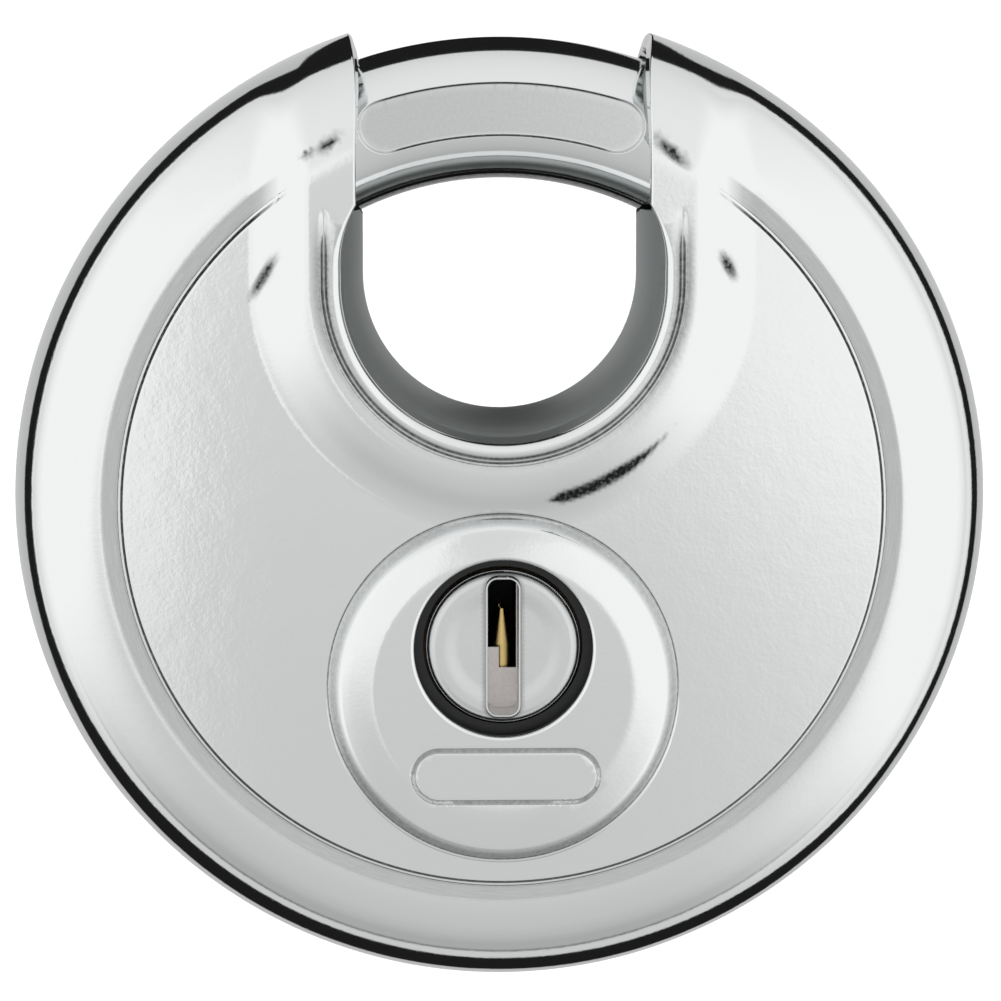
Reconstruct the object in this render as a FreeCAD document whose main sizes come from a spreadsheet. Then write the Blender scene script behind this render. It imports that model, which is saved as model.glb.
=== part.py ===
import FreeCAD, Part
import math
import os
import re
import Sketcher
from FreeCAD import Placement, Rotation, Vector

# A disc padlock: two pressed shells closed over a core that holds a pin-tumbler
# lock, with a round curved shackle that turns about the disc's axis.
#
# Frame: +Z up, +X to the right, the keyhole faces -Y. The origin is the centre of the
# exposed shackle bar, by which the lock hangs, so the disc's axis is one ring_radius below.
# Every piece is drawn about the disc's axis or the plug's axis and placed from there.
# A depth is a distance in front of the disc's mid plane, so depth = -Y and the back is negative.

SIZES = {
    # pressed shells
    "disc_radius": 45.0,
    "rim_half_width": 2.4,
    "shoulder_radius": 8.4,
    "plateau_depth": 11.6,
    "band_width": 1.7,
    "step_round": 0.3,
    "band_drop": 0.4,
    "shell_wall": 1.6,
    "envelope_radius": 10.9,
    # throat, a U open at the top
    "throat_rise": 20.7,
    "throat_radius": 12.7,
    "lip_radius": 14.7,
    "lip_wall": 1.6,
    "lip_depth": 8.0,
    "tip_half_gap": 13.3,
    "tip_drop": 7.1,
    "tip_curve_radius": 10.36,
    "tip_curve_start": 1.9,
    "collar_foot_radius": 22.6,
    "collar_top_radius": 18.6,
    "collar_depth": 13.2,
    "collar_curve": 6.0,
    "collar_sink": 0.25,
    "trim_reach": 60.0,
    # boss and keyhole
    "boss_drop": 16.45,
    "boss_radius": 16.3,
    "boss_depth": 13.5,
    "boss_round": 1.5,
    "keyhole_radius": 8.16,
    # throat liner
    "liner_radius": 18.0,
    "liner_half": 7.8,
    "liner_edge_radius": 15.2,
    "liner_rise": 6.0,
    "end_wall_face": 13.9,
    "end_wall": 1.2,
    "inner_gap": 0.25,
    # shackle
    "ring_radius": 36.0,
    "bar_radius": 6.5,
    "bar_clearance": 0.35,
    "shackle_turn": 30.0,
    "free_end_back": 0.5,
    "tail_reach": 9.0,
    "free_end_chamfer": 1.2,
    "seat_depth": 4.0,
    "seat_angle": 22.5,
    "panel_radius": 36.1,
    "panel_half_width": 2.4,
    "panel_half_angle": 17.0,
    "panel_floor": 5.9,
    # tail plate and its rivets
    "plate_front": 5.5,
    "plate_back": 6.9,
    "plate_half_width": 3.9,
    "plate_inner": 18.1,
    "plate_outer": 41.0,
    "pad_inner": 30.3,
    "slot_half_width": 2.02,
    "slot_inner": 21.7,
    "slot_outer": 25.5,
    "rivet_radius": 1.45,
    "rivet_hole": 1.5,
    "rivet_first": 33.0,
    "rivet_second": 37.8,
    "rivet_head_radius": 2.1,
    "rivet_head": 0.7,
    "rivet_end": 4.0,
    "rivet_sink": 0.4,
    # core and its cover
    "core_radius": 29.1,
    "core_half": 9.8,
    "core_throat": 18.2,
    "pocket_floor": 5.3,
    "pocket_radius": 16.2,
    "pocket_top": 8.2,
    "fan_top": 11.0,
    "fan_half_width": 22.5,
    "fan_shoulder": 19.0,
    "cover_front": 8.7,
    "cover_back": 9.3,
    "cover_half_width": 20.5,
    "cover_radius": 28.8,
    "cover_top": 0.4,
    "cover_gap": 0.1,
    "cover_screw_side": 18.0,
    "cover_screw_drop": 6.0,
    "cover_screw_top": 1.8,
    "screw_radius": 1.0,
    "screw_hole": 1.05,
    "screw_head_radius": 1.7,
    "screw_head": 0.5,
    "screw_end": 4.5,
    # barrel, drawn about the plug's axis
    "plug_drop": 12.65,
    "barrel_radius": 8.6,
    "barrel_front": 8.1,
    "barrel_back": 5.2,
    "bible_half_width": 3.0,
    "bible_drop": 15.3,
    "barrel_gap": 0.15,
    "barrel_end_wall": 1.0,
    "strip_half_width": 1.6,
    "strip_height": 0.6,
    "strip_gap": 0.1,
    "fixing_radius": 1.5,
    "fixing_rise": 3.0,
    "fixing_depth": 2.0,
    "fixing_seat": 7.2,
    "fixing_length": 8.0,
    # anti-drill plate
    "guard_radius": 14.4,
    "guard_hole": 8.3,
    "guard_ledge_hole": 7.3,
    "guard_ledge": 10.9,
    "guard_back": 9.9,
    "guard_front": 11.8,
    # plug, rotor, clip and crank
    "plug_radius": 6.5,
    "plug_clearance": 0.05,
    "plug_front": 8.4,
    "plug_back": 4.1,
    "stub_radius": 3.2,
    "stub_clearance": 0.1,
    "hex_half_width": 2.5,
    "hex_clearance": 0.05,
    "keyway_half_width": 1.3,
    "keyway_top": 5.9,
    "keyway_bottom": 2.5,
    "ward_top": 0.6,
    "ward_edge": 0.3,
    "keyway_end": 3.8,
    "rotor_radius": 7.0,
    "rotor_front": 12.3,
    "slot_width": 2.8,
    "slot_height": 12.5,
    "slot_round": 0.9,
    "slot_rim": 0.26,
    "slot_rim_height": 0.25,
    "clip_inner": 2.65,
    "clip_outer": 4.2,
    "clip_front": 5.35,
    "clip_back": 5.8,
    "clip_groove_radius": 2.6,
    "clip_groove_gap": 0.05,
    "clip_mouth": 1.9,
    "crank_front": 7.1,
    "crank_back": 8.5,
    "crank_hub": 4.2,
    "crank_end": 3.0,
    "crank_half_width": 2.6,
    "crank_pin_radius": 1.95,
    "crank_pin_hole": 2.0,
    "crank_pin_front": 5.7,
    # pin stacks, measured from the plug's axis
    "pin_radius": 0.95,
    "pin_hole": 1.0,
    "chamber_radius": 1.05,
    "pin_pitch": 2.4,
    "first_pin": 6.85,
    "key_pin_foot": 6.4,
    "key_pin_point": 3.2,
    "key_pin_tip_radius": 0.3,
    "driver_top": 6.62,
    "driver_length": 4.0,
    "spring_radius": 0.7,
    "spring_wire": 0.12,
    "spring_turns": 6.0,
}

KEY_PIN_LENGTHS = [9.2, 7.8, 8.6, 7.2, 8.2]
HEX_SIDES = 6
TINY = 1e-7
TOUCHING = 1e-5
SAME_LENGTH = 1e-3

doc = FreeCAD.newDocument("DiscPadlock")
sheet = doc.addObject("Spreadsheet::Sheet", "Sizes")
pieces = {}


def fill_sheet():
    """Write every driving dimension into the sheet as a number with an alias."""
    lengths = {"key_pin_length_%s" % "abcde"[i]: length for i, length in enumerate(KEY_PIN_LENGTHS)}
    SIZES.update(lengths)
    for row, (alias, value) in enumerate(SIZES.items(), start=1):
        sheet.set("A%d" % row, alias)
        sheet.set("B%d" % row, str(value))
        sheet.setAlias("B%d" % row, alias)
    doc.recompute()


def bound(text):
    """Turn an expression in aliases into one that reads the sheet."""
    return re.sub(r"[a-z_]+", lambda word: "Sizes." + word[0] if word[0] in SIZES else word[0], str(text))


def value(text):
    """The present value of an expression in aliases."""
    return float(sheet.evalExpression(bound(text)))


# ---------------------------------------------------------------- bodies and sketches

def new_body(name, drop="0", turn="0"):
    """A body whose own origin is the disc's axis lowered by drop, turned about it by turn degrees."""
    body = doc.addObject("PartDesign::Body", name)
    body.Label = name
    body.Placement = Placement(Vector(), Rotation(Vector(0, 1, 0), value(turn)))
    body.setExpression("Placement.Base.z", bound("-ring_radius - (%s)" % drop))
    if turn != "0":
        body.setExpression("Placement.Rotation.Angle", bound("(%s) * 1 deg" % turn))
    pieces[name] = body
    return body


def new_sketch(body, role, offset="0", turn=0.0):
    """A sketch on one of the body's own planes, moved along its normal and turned about its upright."""
    sketch = body.newObject("Sketcher::SketchObject", body.Name + "_sketch")
    plane = next(item for item in body.Origin.OriginFeatures if item.Role == role)
    sketch.AttachmentSupport = [(plane, "")]
    sketch.MapMode = "FlatFace"
    sketch.AttachmentOffset = Placement(Vector(), Rotation(Vector(0, 1, 0), turn))
    sketch.setExpression("AttachmentOffset.Base.z", bound(offset))
    return sketch


def pin_point(sketch, curve, end, corner):
    """Bind one point of a sketch to two expressions."""
    for kind, axis, text in (("DistanceX", -2, corner[0]), ("DistanceY", -1, corner[1])):
        number = value(text)
        if abs(number) < TINY:
            sketch.addConstraint(Sketcher.Constraint("PointOnObject", curve, end, axis))
            continue
        index = sketch.addConstraint(Sketcher.Constraint(kind, -1, 1, curve, end, number))
        sketch.setExpression("Constraints[%d]" % index, bound(text))


def arc_between(start, end, radius, side):
    """An arc of under half a turn from start to end that bulges to the left (1) or right (-1).

    A sketch keeps its arcs anticlockwise, so one that bulges to the left is made from end to start.
    """
    chord = end - start
    left = Vector(-chord.y, chord.x, 0)
    left.normalize()
    height = (radius ** 2 - (chord.Length / 2) ** 2) ** 0.5
    centre = (start + end) * 0.5 - left * side * height
    first, last = (end, start) if side > 0 else (start, end)
    begin = math.atan2(first.y - centre.y, first.x - centre.x)
    finish = math.atan2(last.y - centre.y, last.x - centre.x)
    return Part.ArcOfCircle(Part.Circle(centre, Vector(0, 0, 1), radius), begin, finish)


def draw_loop(sketch, corners):
    """A closed outline. A corner is (x, y), or (x, y, radius, side) where an arc leads to the next."""
    first = len(sketch.Geometry)
    count = len(corners)
    points = [Vector(value(corner[0]), value(corner[1]), 0) for corner in corners]
    for i, corner in enumerate(corners):
        end = points[(i + 1) % count]
        if len(corner) > 2:
            sketch.addGeometry(arc_between(points[i], end, value(corner[2]), corner[3]), False)
        else:
            sketch.addGeometry(Part.LineSegment(points[i], end), False)

    def end_at(curve, point):
        return 1 if (sketch.Geometry[curve].StartPoint - point).Length < TOUCHING else 2

    starts = [end_at(first + i, points[i]) for i in range(count)]
    for i in range(count):
        before = first + (i - 1) % count
        sketch.addConstraint(
            Sketcher.Constraint("Coincident", before, end_at(before, points[i]), first + i, starts[i]))
    for i, corner in enumerate(corners):
        pin_point(sketch, first + i, starts[i], corner)
        if len(corner) > 2:
            index = sketch.addConstraint(Sketcher.Constraint("Radius", first + i, value(corner[2])))
            sketch.setExpression("Constraints[%d]" % index, bound(corner[2]))


def draw_circle(sketch, across, up, radius):
    """A full circle whose centre and radius are bound."""
    centre = Vector(value(across), value(up), 0)
    curve = sketch.addGeometry(Part.Circle(centre, Vector(0, 0, 1), value(radius)), False)
    pin_point(sketch, curve, 3, (across, up))
    index = sketch.addConstraint(Sketcher.Constraint("Radius", curve, value(radius)))
    sketch.setExpression("Constraints[%d]" % index, bound(radius))


def fill(sketch, loops, circles):
    for loop in loops:
        draw_loop(sketch, loop)
    for circle in circles:
        draw_circle(sketch, *circle)
    doc.recompute()


def extrude(body, kind, sketch, length):
    feature = body.newObject("PartDesign::" + kind, body.Name + "_" + kind.lower())
    feature.Profile = sketch
    feature.setExpression("Length", bound(length))
    doc.recompute()


def slab(body, back, front, loops=(), circles=()):
    """Add a flat outline, drawn in X and Z, from depth back to depth front."""
    sketch = new_sketch(body, "XZ_Plane", back)
    fill(sketch, loops, circles)
    extrude(body, "Pad", sketch, "(%s) - (%s)" % (front, back))


def cut_slab(body, back, front, loops=(), circles=()):
    """Cut a flat outline, drawn in X and Z, from depth front back to depth back."""
    before = body.Shape.Volume
    sketch = new_sketch(body, "XZ_Plane", front)
    fill(sketch, loops, circles)
    extrude(body, "Pocket", sketch, "(%s) - (%s)" % (front, back))
    assert body.Shape.Volume < before - TINY, "nothing cut from " + body.Name


def column(body, low, high, loops=(), circles=()):
    """Add an outline drawn in X and Y from height low to height high."""
    sketch = new_sketch(body, "XY_Plane", low)
    fill(sketch, loops, circles)
    extrude(body, "Pad", sketch, "(%s) - (%s)" % (high, low))


def cut_column(body, low, high, loops=(), circles=()):
    """Cut an outline drawn in X and Y from height high down to height low."""
    before = body.Shape.Volume
    sketch = new_sketch(body, "XY_Plane", high)
    fill(sketch, loops, circles)
    extrude(body, "Pocket", sketch, "(%s) - (%s)" % (high, low))
    assert body.Shape.Volume < before - TINY, "nothing cut from " + body.Name


def in_section(loops):
    """Loops given as (radius, depth) in the section plane, where Y is minus the depth.

    The mirror image turns the arcs' sides over, so a side still means left of the way along the loop
    when the section is seen with its depth upwards.
    """
    turned_over = []
    for loop in loops:
        turned_over.append([(c[0], "-(%s)" % c[1]) + ((c[2], -c[3]) if len(c) > 2 else ()) for c in loop])
    return turned_over


def spin(body, kind, rise, angle, start, loops=(), circles=()):
    sketch = new_sketch(body, "XY_Plane", rise, start)
    fill(sketch, in_section(loops), [(c[0], "-(%s)" % c[1], c[2]) for c in circles])
    feature = body.newObject("PartDesign::" + kind, body.Name + "_" + kind.lower())
    feature.Profile = sketch
    feature.ReferenceAxis = (sketch, ["V_Axis"])
    feature.Angle = angle
    doc.recompute()


def turned(body, loops=(), circles=(), rise="0", angle=360.0, start=0.0):
    """Turn sections, given in radius and depth, about an axis along Y that is rise above the body's."""
    spin(body, "Revolution", rise, angle, start, loops, circles)


def turned_cut(body, loops=(), circles=(), rise="0", angle=360.0, start=0.0):
    before = body.Shape.Volume
    spin(body, "Groove", rise, angle, start, loops, circles)
    assert body.Shape.Volume < before - TINY, "nothing cut from " + body.Name


def box_loop(left, bottom, right, top):
    return [(left, bottom), (right, bottom), (right, top), (left, top)]


def mirrored_loop(corners):
    """The same loop on the other side of the upright axis."""
    return [("-(%s)" % c[0], c[1]) + ((c[2], -c[3]) if len(c) > 2 else ()) for c in corners]


def u_loop(radius, top, rise="throat_rise"):
    """A U of the given half width about the throat's centre, open towards the top."""
    low = "%s - %s" % (rise, radius)
    return [
        ("-(%s)" % radius, rise, radius, -1),
        ("0", low, radius, -1),
        (radius, rise),
        (radius, top),
        ("-(%s)" % radius, top),
    ]


# ---------------------------------------------------------------- case

def shell_section():
    """Half section of a shell's wall, from the axis out over the shoulder to the rim."""
    inner_radius = "disc_radius - shell_wall"
    shoulder_centre = "disc_radius - shoulder_radius"
    shoulder_top = "rim_half_width + shoulder_radius"
    shoulder_inside = "rim_half_width + shoulder_radius - shell_wall"
    band_inner = "disc_radius - shoulder_radius - band_width"
    step_top = "disc_radius - shoulder_radius - band_width - step_round"
    inner_plateau = "plateau_depth - shell_wall"
    return [
        ("0", inner_plateau),
        (step_top, inner_plateau),
        (shoulder_centre, shoulder_inside, "shoulder_radius - shell_wall", 1),
        (inner_radius, "rim_half_width"),
        (inner_radius, "0"),
        ("disc_radius", "0"),
        ("disc_radius", "rim_half_width", "shoulder_radius", -1),
        (shoulder_centre, shoulder_top),
        (band_inner, "plateau_depth - band_drop"),
        (band_inner, "plateau_depth - step_round", "step_round", -1),
        (step_top, "plateau_depth"),
        ("0", "plateau_depth"),
    ]


def collar_section(inner):
    """Section of the raised collar round the throat, with its foot sunk into the shell's wall."""
    foot = "plateau_depth - shell_wall / 2"
    return [
        (inner, foot),
        ("collar_foot_radius", foot),
        ("collar_foot_radius", "plateau_depth - collar_sink", "collar_curve", -1),
        ("collar_top_radius", "collar_depth"),
        (inner, "collar_depth"),
    ]


def throat_outline():
    """The opening in a shell: a U whose two sides curve in towards the shackle at their tops."""
    curve_low = "throat_rise + tip_curve_start"
    curve_high = "throat_rise + tip_drop"
    return [
        ("-lip_radius", "throat_rise", "lip_radius", -1),
        ("0", "throat_rise - lip_radius", "lip_radius", -1),
        ("lip_radius", "throat_rise"),
        ("lip_radius", curve_low, "tip_curve_radius", -1),
        ("tip_half_gap", curve_high),
        ("tip_half_gap", "trim_reach"),
        ("-tip_half_gap", "trim_reach"),
        ("-tip_half_gap", curve_high, "tip_curve_radius", -1),
        ("-lip_radius", curve_low),
    ]


def shell(name, has_keyhole):
    """One pressed half: wall, collar with its turned-in lip, and on the front the boss and keyhole."""
    body = new_body(name)
    turned(body, [shell_section()])
    turned(body, [collar_section("lip_radius")], rise="throat_rise", angle=180.0)
    collar_side = [(c[0], "-(%s)" % c[1]) + ((c[2], -c[3]) if len(c) > 2 else ())
                   for c in collar_section("tip_half_gap - shell_wall")]
    column(body, "throat_rise", "disc_radius", [collar_side, mirrored_loop(collar_side)])
    lip_outer = "lip_radius + lip_wall"
    lip_foot = "plateau_depth - shell_wall / 2"
    turned(body, [box_loop("lip_radius", "lip_depth", lip_outer, lip_foot)], rise="throat_rise", angle=180.0)
    lip_side = box_loop("lip_radius", "-(%s)" % lip_foot, lip_outer, "-lip_depth")
    column(body, "throat_rise", "throat_rise + liner_rise - inner_gap", [lip_side, mirrored_loop(lip_side)])
    if has_keyhole:
        shell_boss(body)
    clear = "2 * boss_depth"
    turned_cut(body, [[
        ("disc_radius", "rim_half_width", "envelope_radius", -1),
        ("disc_radius - envelope_radius", "rim_half_width + envelope_radius"),
        ("disc_radius - envelope_radius", clear),
        ("trim_reach", clear),
        ("trim_reach", "rim_half_width"),
    ]])
    cut_slab(body, "-shell_wall", clear, [throat_outline()])
    if has_keyhole:
        cut_slab(body, "lip_depth", clear, circles=[("0", "-plug_drop", "keyhole_radius")])
    return body


def shell_boss(body):
    """The round boss, hollow behind for the anti-drill plate."""
    step = "boss_depth - boss_round"
    turned(body, [[
        ("0", "plateau_depth - shell_wall / 2"),
        ("boss_radius", "plateau_depth - shell_wall / 2"),
        ("boss_radius", step, "boss_round", -1),
        ("boss_radius - boss_round", "boss_depth"),
        ("0", "boss_depth"),
    ]], rise="-boss_drop")
    turned_cut(body, [box_loop("0", "lip_depth", "boss_radius - shell_wall", "boss_depth - shell_wall")],
               rise="-boss_drop")


def liner_crown():
    """Radius of the liner's crown, which rises from its two edges to the throat's own radius."""
    rise = "(liner_edge_radius - throat_radius)"
    return "(liner_half ^ 2 + %s ^ 2) / (2 * %s)" % (rise, rise)


def throat_liner():
    """Hardened U that lines the throat, crowned across, with a wall and a shackle hole at each tip."""
    body = new_body("throat_liner")
    top = "throat_rise + liner_rise"
    slab(body, "-liner_half", "liner_half", [u_loop("liner_radius", top)])
    wall = box_loop("end_wall_face", top, "end_wall_face + end_wall", "disc_radius")
    slab(body, "-plateau_depth", "plateau_depth", [wall, box_loop(
        "-end_wall_face - end_wall", top, "-end_wall_face", "disc_radius")])
    wall_foot = box_loop("end_wall_face", "throat_rise", "liner_radius", top)
    slab(body, "-liner_half", "liner_half", [wall_foot, mirrored_loop(wall_foot)])
    crown = [
        ("0", "-liner_half"),
        ("liner_edge_radius", "-liner_half", liner_crown(), 1),
        ("liner_edge_radius", "liner_half"),
        ("0", "liner_half"),
    ]
    turned_cut(body, [crown], rise="throat_rise", angle=180.0)
    both_sides = [
        ("-liner_edge_radius", "-liner_half"),
        ("liner_edge_radius", "-liner_half", liner_crown(), 1),
        ("liner_edge_radius", "liner_half"),
        ("-liner_edge_radius", "liner_half", liner_crown(), 1),
    ]
    cut_column(body, "throat_rise", top, [both_sides])
    turned_cut(body, [outside_of_cavity()])
    turned_cut(body, circles=[("ring_radius", "0", "bar_radius + bar_clearance")])


def outside_of_cavity():
    """Everything outside the shells' inner faces, less a small gap, as one section."""
    radius = "disc_radius - shell_wall - inner_gap"
    curve = "shoulder_radius - shell_wall - inner_gap"
    centre = "disc_radius - shoulder_radius"
    shoulder = "rim_half_width + shoulder_radius - shell_wall - inner_gap"
    flat = "plateau_depth - shell_wall - inner_gap"
    inner = "disc_radius - shoulder_radius - band_width - step_round"
    far = "2 * plateau_depth"
    return [
        ("0", flat),
        (inner, flat),
        (centre, shoulder, curve, 1),
        (radius, "rim_half_width"),
        (radius, "-rim_half_width", curve, 1),
        (centre, "-(%s)" % shoulder),
        (inner, "-(%s)" % flat),
        ("0", "-(%s)" % flat),
        ("0", "-(%s)" % far),
        ("trim_reach", "-(%s)" % far),
        ("trim_reach", far),
        ("0", far),
    ]


def anti_drill_plate():
    """Hardened plate in the hollow of the boss, with a ledge that reaches in close round the rotor."""
    body = new_body("anti_drill_plate")
    outline = ("0", "-boss_drop", "guard_radius")
    slab(body, "guard_back", "guard_ledge", circles=[outline, ("0", "-plug_drop", "guard_ledge_hole")])
    slab(body, "guard_ledge", "guard_front", circles=[outline, ("0", "-plug_drop", "guard_hole")])


# ---------------------------------------------------------------- core

def cover_screw_places():
    return [
        ("-cover_screw_side", "-cover_screw_drop"),
        ("cover_screw_side", "-cover_screw_drop"),
        ("0", "-cover_screw_top"),
    ]


def cover_loop(gap, arc_radius):
    """Outline of the cover, or with a gap that of its recess: flat top and sides, round foot."""
    side = "cover_half_width + %s" % gap
    foot = "-sqrt((%s) ^ 2 - (%s) ^ 2)" % (arc_radius, side)
    return [
        ("-(%s)" % side, "cover_top + %s" % gap),
        ("-(%s)" % side, foot, arc_radius, -1),
        (side, foot),
        (side, "cover_top + %s" % gap),
    ]


def lock_core():
    """Die-cast core: the inner wall of the shackle's channel, bored for the barrel from the front and
    pocketed for the crank and the tail plate from the back."""
    body = new_body("lock_core")
    slab(body, "-core_half", "core_half", circles=[("0", "0", "core_radius")])
    cut_slab(body, "-core_half", "core_half", [u_loop("core_throat", "disc_radius")])
    cut_slab(body, "-pocket_floor", "core_half", circles=[("0", "-plug_drop", "barrel_radius + barrel_gap")])
    bible_side = "bible_half_width + barrel_gap"
    bible_foot = "-plug_drop - bible_drop - barrel_gap"
    cut_slab(body, "-pocket_floor", "core_half",
             [box_loop("-(%s)" % bible_side, bible_foot, bible_side, "-plug_drop")])
    chord = "sqrt(pocket_radius ^ 2 - (plug_drop - pocket_top) ^ 2)"
    cut_slab(body, "-core_half", "-pocket_floor", [[
        ("-(%s)" % chord, "-pocket_top", "pocket_radius", -1),
        ("-pocket_radius", "-plug_drop", "pocket_radius", -1),
        ("0", "-plug_drop - pocket_radius", "pocket_radius", -1),
        ("pocket_radius", "-plug_drop", "pocket_radius", -1),
        (chord, "-pocket_top"),
    ]])
    cut_slab(body, "-core_half", "-pocket_floor", [[
        ("0", "-fan_top"),
        ("-fan_half_width", "-fan_shoulder"),
        ("-fan_half_width", "-disc_radius"),
        ("fan_half_width", "-disc_radius"),
        ("fan_half_width", "-fan_shoulder"),
    ]])
    cut_slab(body, "-core_half", "-cover_front", [cover_loop("cover_gap", "core_radius + cover_gap")])
    cut_slab(body, "-cover_front", "-screw_end + cover_gap",
             circles=[(across, up, "screw_hole") for across, up in cover_screw_places()])
    cut_across(body, "fixing_seat", "core_radius + shell_wall", "fixing_rise - plug_drop")


def cut_across(body, inner, outer, height):
    """The hole for the barrel's fixing screw, along X."""
    before = body.Shape.Volume
    sketch = new_sketch(body, "YZ_Plane", outer)
    fill(sketch, [], [("-fixing_depth", height, "fixing_radius + plug_clearance")])
    extrude(body, "Pocket", sketch, "(%s) - (%s)" % (outer, inner))
    assert body.Shape.Volume < before - TINY, "no fixing hole in " + body.Name


def core_cover():
    body = new_body("core_cover")
    slab(body, "-cover_back", "-cover_front", [cover_loop("0", "cover_radius")],
         [(across, up, "screw_hole") for across, up in cover_screw_places()])


def cover_screws():
    """Three pan-head screws, each with a slot."""
    body = new_body("cover_screws")
    places = cover_screw_places()
    slab(body, "-cover_back - screw_head", "-cover_back",
         circles=[(across, up, "screw_head_radius") for across, up in places])
    slab(body, "-cover_back", "-screw_end", circles=[(across, up, "screw_radius") for across, up in places])
    slots = [box_loop("%s - screw_head_radius" % across, "%s - screw_head / 2" % up,
                      "%s + screw_head_radius" % across, "%s + screw_head / 2" % up)
             for across, up in places]
    cut_slab(body, "-cover_back - screw_head", "-cover_back - screw_head / 2", slots)


# ---------------------------------------------------------------- barrel and pins

def pin_places():
    """Depths of the pin stacks, from the front."""
    return ["first_pin - %d * pin_pitch" % i for i in range(len(KEY_PIN_LENGTHS))]


def barrel():
    """Cylinder housing, drawn about the plug's axis, with the pin chambers in the block below."""
    body = new_body("barrel", drop="plug_drop")
    slab(body, "-barrel_back", "barrel_front", circles=[("0", "0", "barrel_radius")])
    slab(body, "-barrel_back", "barrel_front",
         [box_loop("-bible_half_width", "-bible_drop", "bible_half_width", "-plug_radius")])
    cut_slab(body, "barrel_end_wall - barrel_back", "barrel_front",
             circles=[("0", "0", "plug_radius + plug_clearance")])
    cut_slab(body, "-barrel_back", "barrel_front", circles=[("0", "0", "stub_radius + stub_clearance")])
    chambers = [("0", "-(%s)" % depth, "chamber_radius") for depth in pin_places()]
    cut_column(body, "-bible_drop", "-plug_radius + pin_radius", circles=chambers)
    strip_side = "strip_half_width + strip_gap"
    cut_slab(body, "-barrel_back", "barrel_front",
             [box_loop("-(%s)" % strip_side, "-bible_drop", strip_side, "strip_height - bible_drop")])
    cut_across(body, "fixing_seat", "barrel_radius + shell_wall", "fixing_rise")


def chamber_strip():
    body = new_body("chamber_strip", drop="plug_drop")
    slab(body, "strip_gap - barrel_back", "barrel_front - strip_gap",
         [box_loop("-strip_half_width", "-bible_drop", "strip_half_width", "strip_height - bible_drop")])


def barrel_screw():
    """Headless screw through the core into a dimple in the barrel's side."""
    body = new_body("barrel_screw", drop="plug_drop")
    sketch = new_sketch(body, "YZ_Plane", "fixing_seat + barrel_gap")
    fill(sketch, [], [("-fixing_depth", "fixing_rise", "fixing_radius")])
    extrude(body, "Pad", sketch, "fixing_length")


def key_pin(number):
    """Pin with a long blunt cone at the top, its foot at the plug's edge."""
    body = new_body("key_pin_%d" % number, drop="plug_drop")
    depth = pin_places()[number - 1]
    length = "key_pin_length_%s" % "abcde"[number - 1]
    foot = "-key_pin_foot"
    sketch = new_sketch(body, "YZ_Plane")
    middle = "-(%s)" % depth
    fill(sketch, [[
        (middle, foot),
        ("%s + pin_radius" % middle, foot),
        ("%s + pin_radius" % middle, "%s + %s - key_pin_point" % (foot, length)),
        ("%s + key_pin_tip_radius" % middle, "%s + %s" % (foot, length)),
        (middle, "%s + %s" % (foot, length)),
    ]], [])
    spin_about_first_edge(body, sketch)


def spin_about_first_edge(body, sketch):
    """Turn a section about its own last edge, the one on the pin's axis."""
    feature = body.newObject("PartDesign::Revolution", body.Name + "_revolution")
    feature.Profile = sketch
    feature.ReferenceAxis = (sketch, ["Edge%d" % len(sketch.Geometry)])
    feature.Angle = 360.0
    doc.recompute()


def driver_pin(number):
    body = new_body("driver_pin_%d" % number, drop="plug_drop")
    column(body, "-driver_top - driver_length", "-driver_top",
           circles=[("0", "-(%s)" % pin_places()[number - 1], "pin_radius")])


def pin_spring(number):
    """Coil spring between the strip and its driver pin, wound as a swept helix."""
    name = "pin_spring_%d" % number
    low = value("strip_height - bible_drop + spring_wire")
    high = value("-driver_top - driver_length - spring_wire")
    height = high - low
    radius = value("spring_radius")
    wire = value("spring_wire")
    helix = Part.makeHelix(height / value("spring_turns"), height, radius)
    ring = Part.Wire([Part.makeCircle(wire, Vector(radius, 0, 0), Vector(0, 1, 0))])
    feature = doc.addObject("Part::Feature", name)
    feature.Label = name
    feature.Shape = Part.Wire(helix).makePipeShell([ring], True, True)
    axis_y = -value(pin_places()[number - 1])
    feature.Placement = Placement(Vector(0, axis_y, low - value("ring_radius + plug_drop")), Rotation())
    pieces[name] = feature


# ---------------------------------------------------------------- plug group

def plug():
    """Plug with keyway, pin holes, and a tail with clip groove and hexagonal end."""
    body = new_body("plug", drop="plug_drop")
    slab(body, "-plug_back", "plug_front", circles=[("0", "0", "plug_radius")])
    slab(body, "-crank_front", "-plug_back", circles=[("0", "0", "stub_radius")])
    slab(body, "-crank_back", "-crank_front", [hexagon("hex_half_width")])
    turned_cut(body, [box_loop("clip_groove_radius", "-clip_back - clip_groove_gap",
                               "stub_radius + stub_clearance", "-clip_front + clip_groove_gap")])
    cut_slab(body, "-keyway_end", "plug_front", [[
        ("-keyway_half_width", "keyway_top"),
        ("-keyway_half_width", "-ward_top"),
        ("-ward_edge", "-ward_top"),
        ("-ward_edge", "-keyway_bottom"),
        ("keyway_half_width", "-keyway_bottom"),
        ("keyway_half_width", "keyway_top"),
    ]])
    holes = [("0", "-(%s)" % depth, "pin_hole") for depth in pin_places()]
    cut_column(body, "-plug_radius", "-ward_top + pin_radius", circles=holes)


def hexagon(half_width):
    """A hexagon with a corner at the top. Turning it by a sixth of a turn leaves it the same."""
    step = 360.0 / HEX_SIDES
    corner = "(%s) / cos(%f deg)" % (half_width, step / 2)
    return [("(%s) * sin(%f deg)" % (corner, step * i), "(%s) * cos(%f deg)" % (corner, step * i))
            for i in range(HEX_SIDES)]


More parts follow.
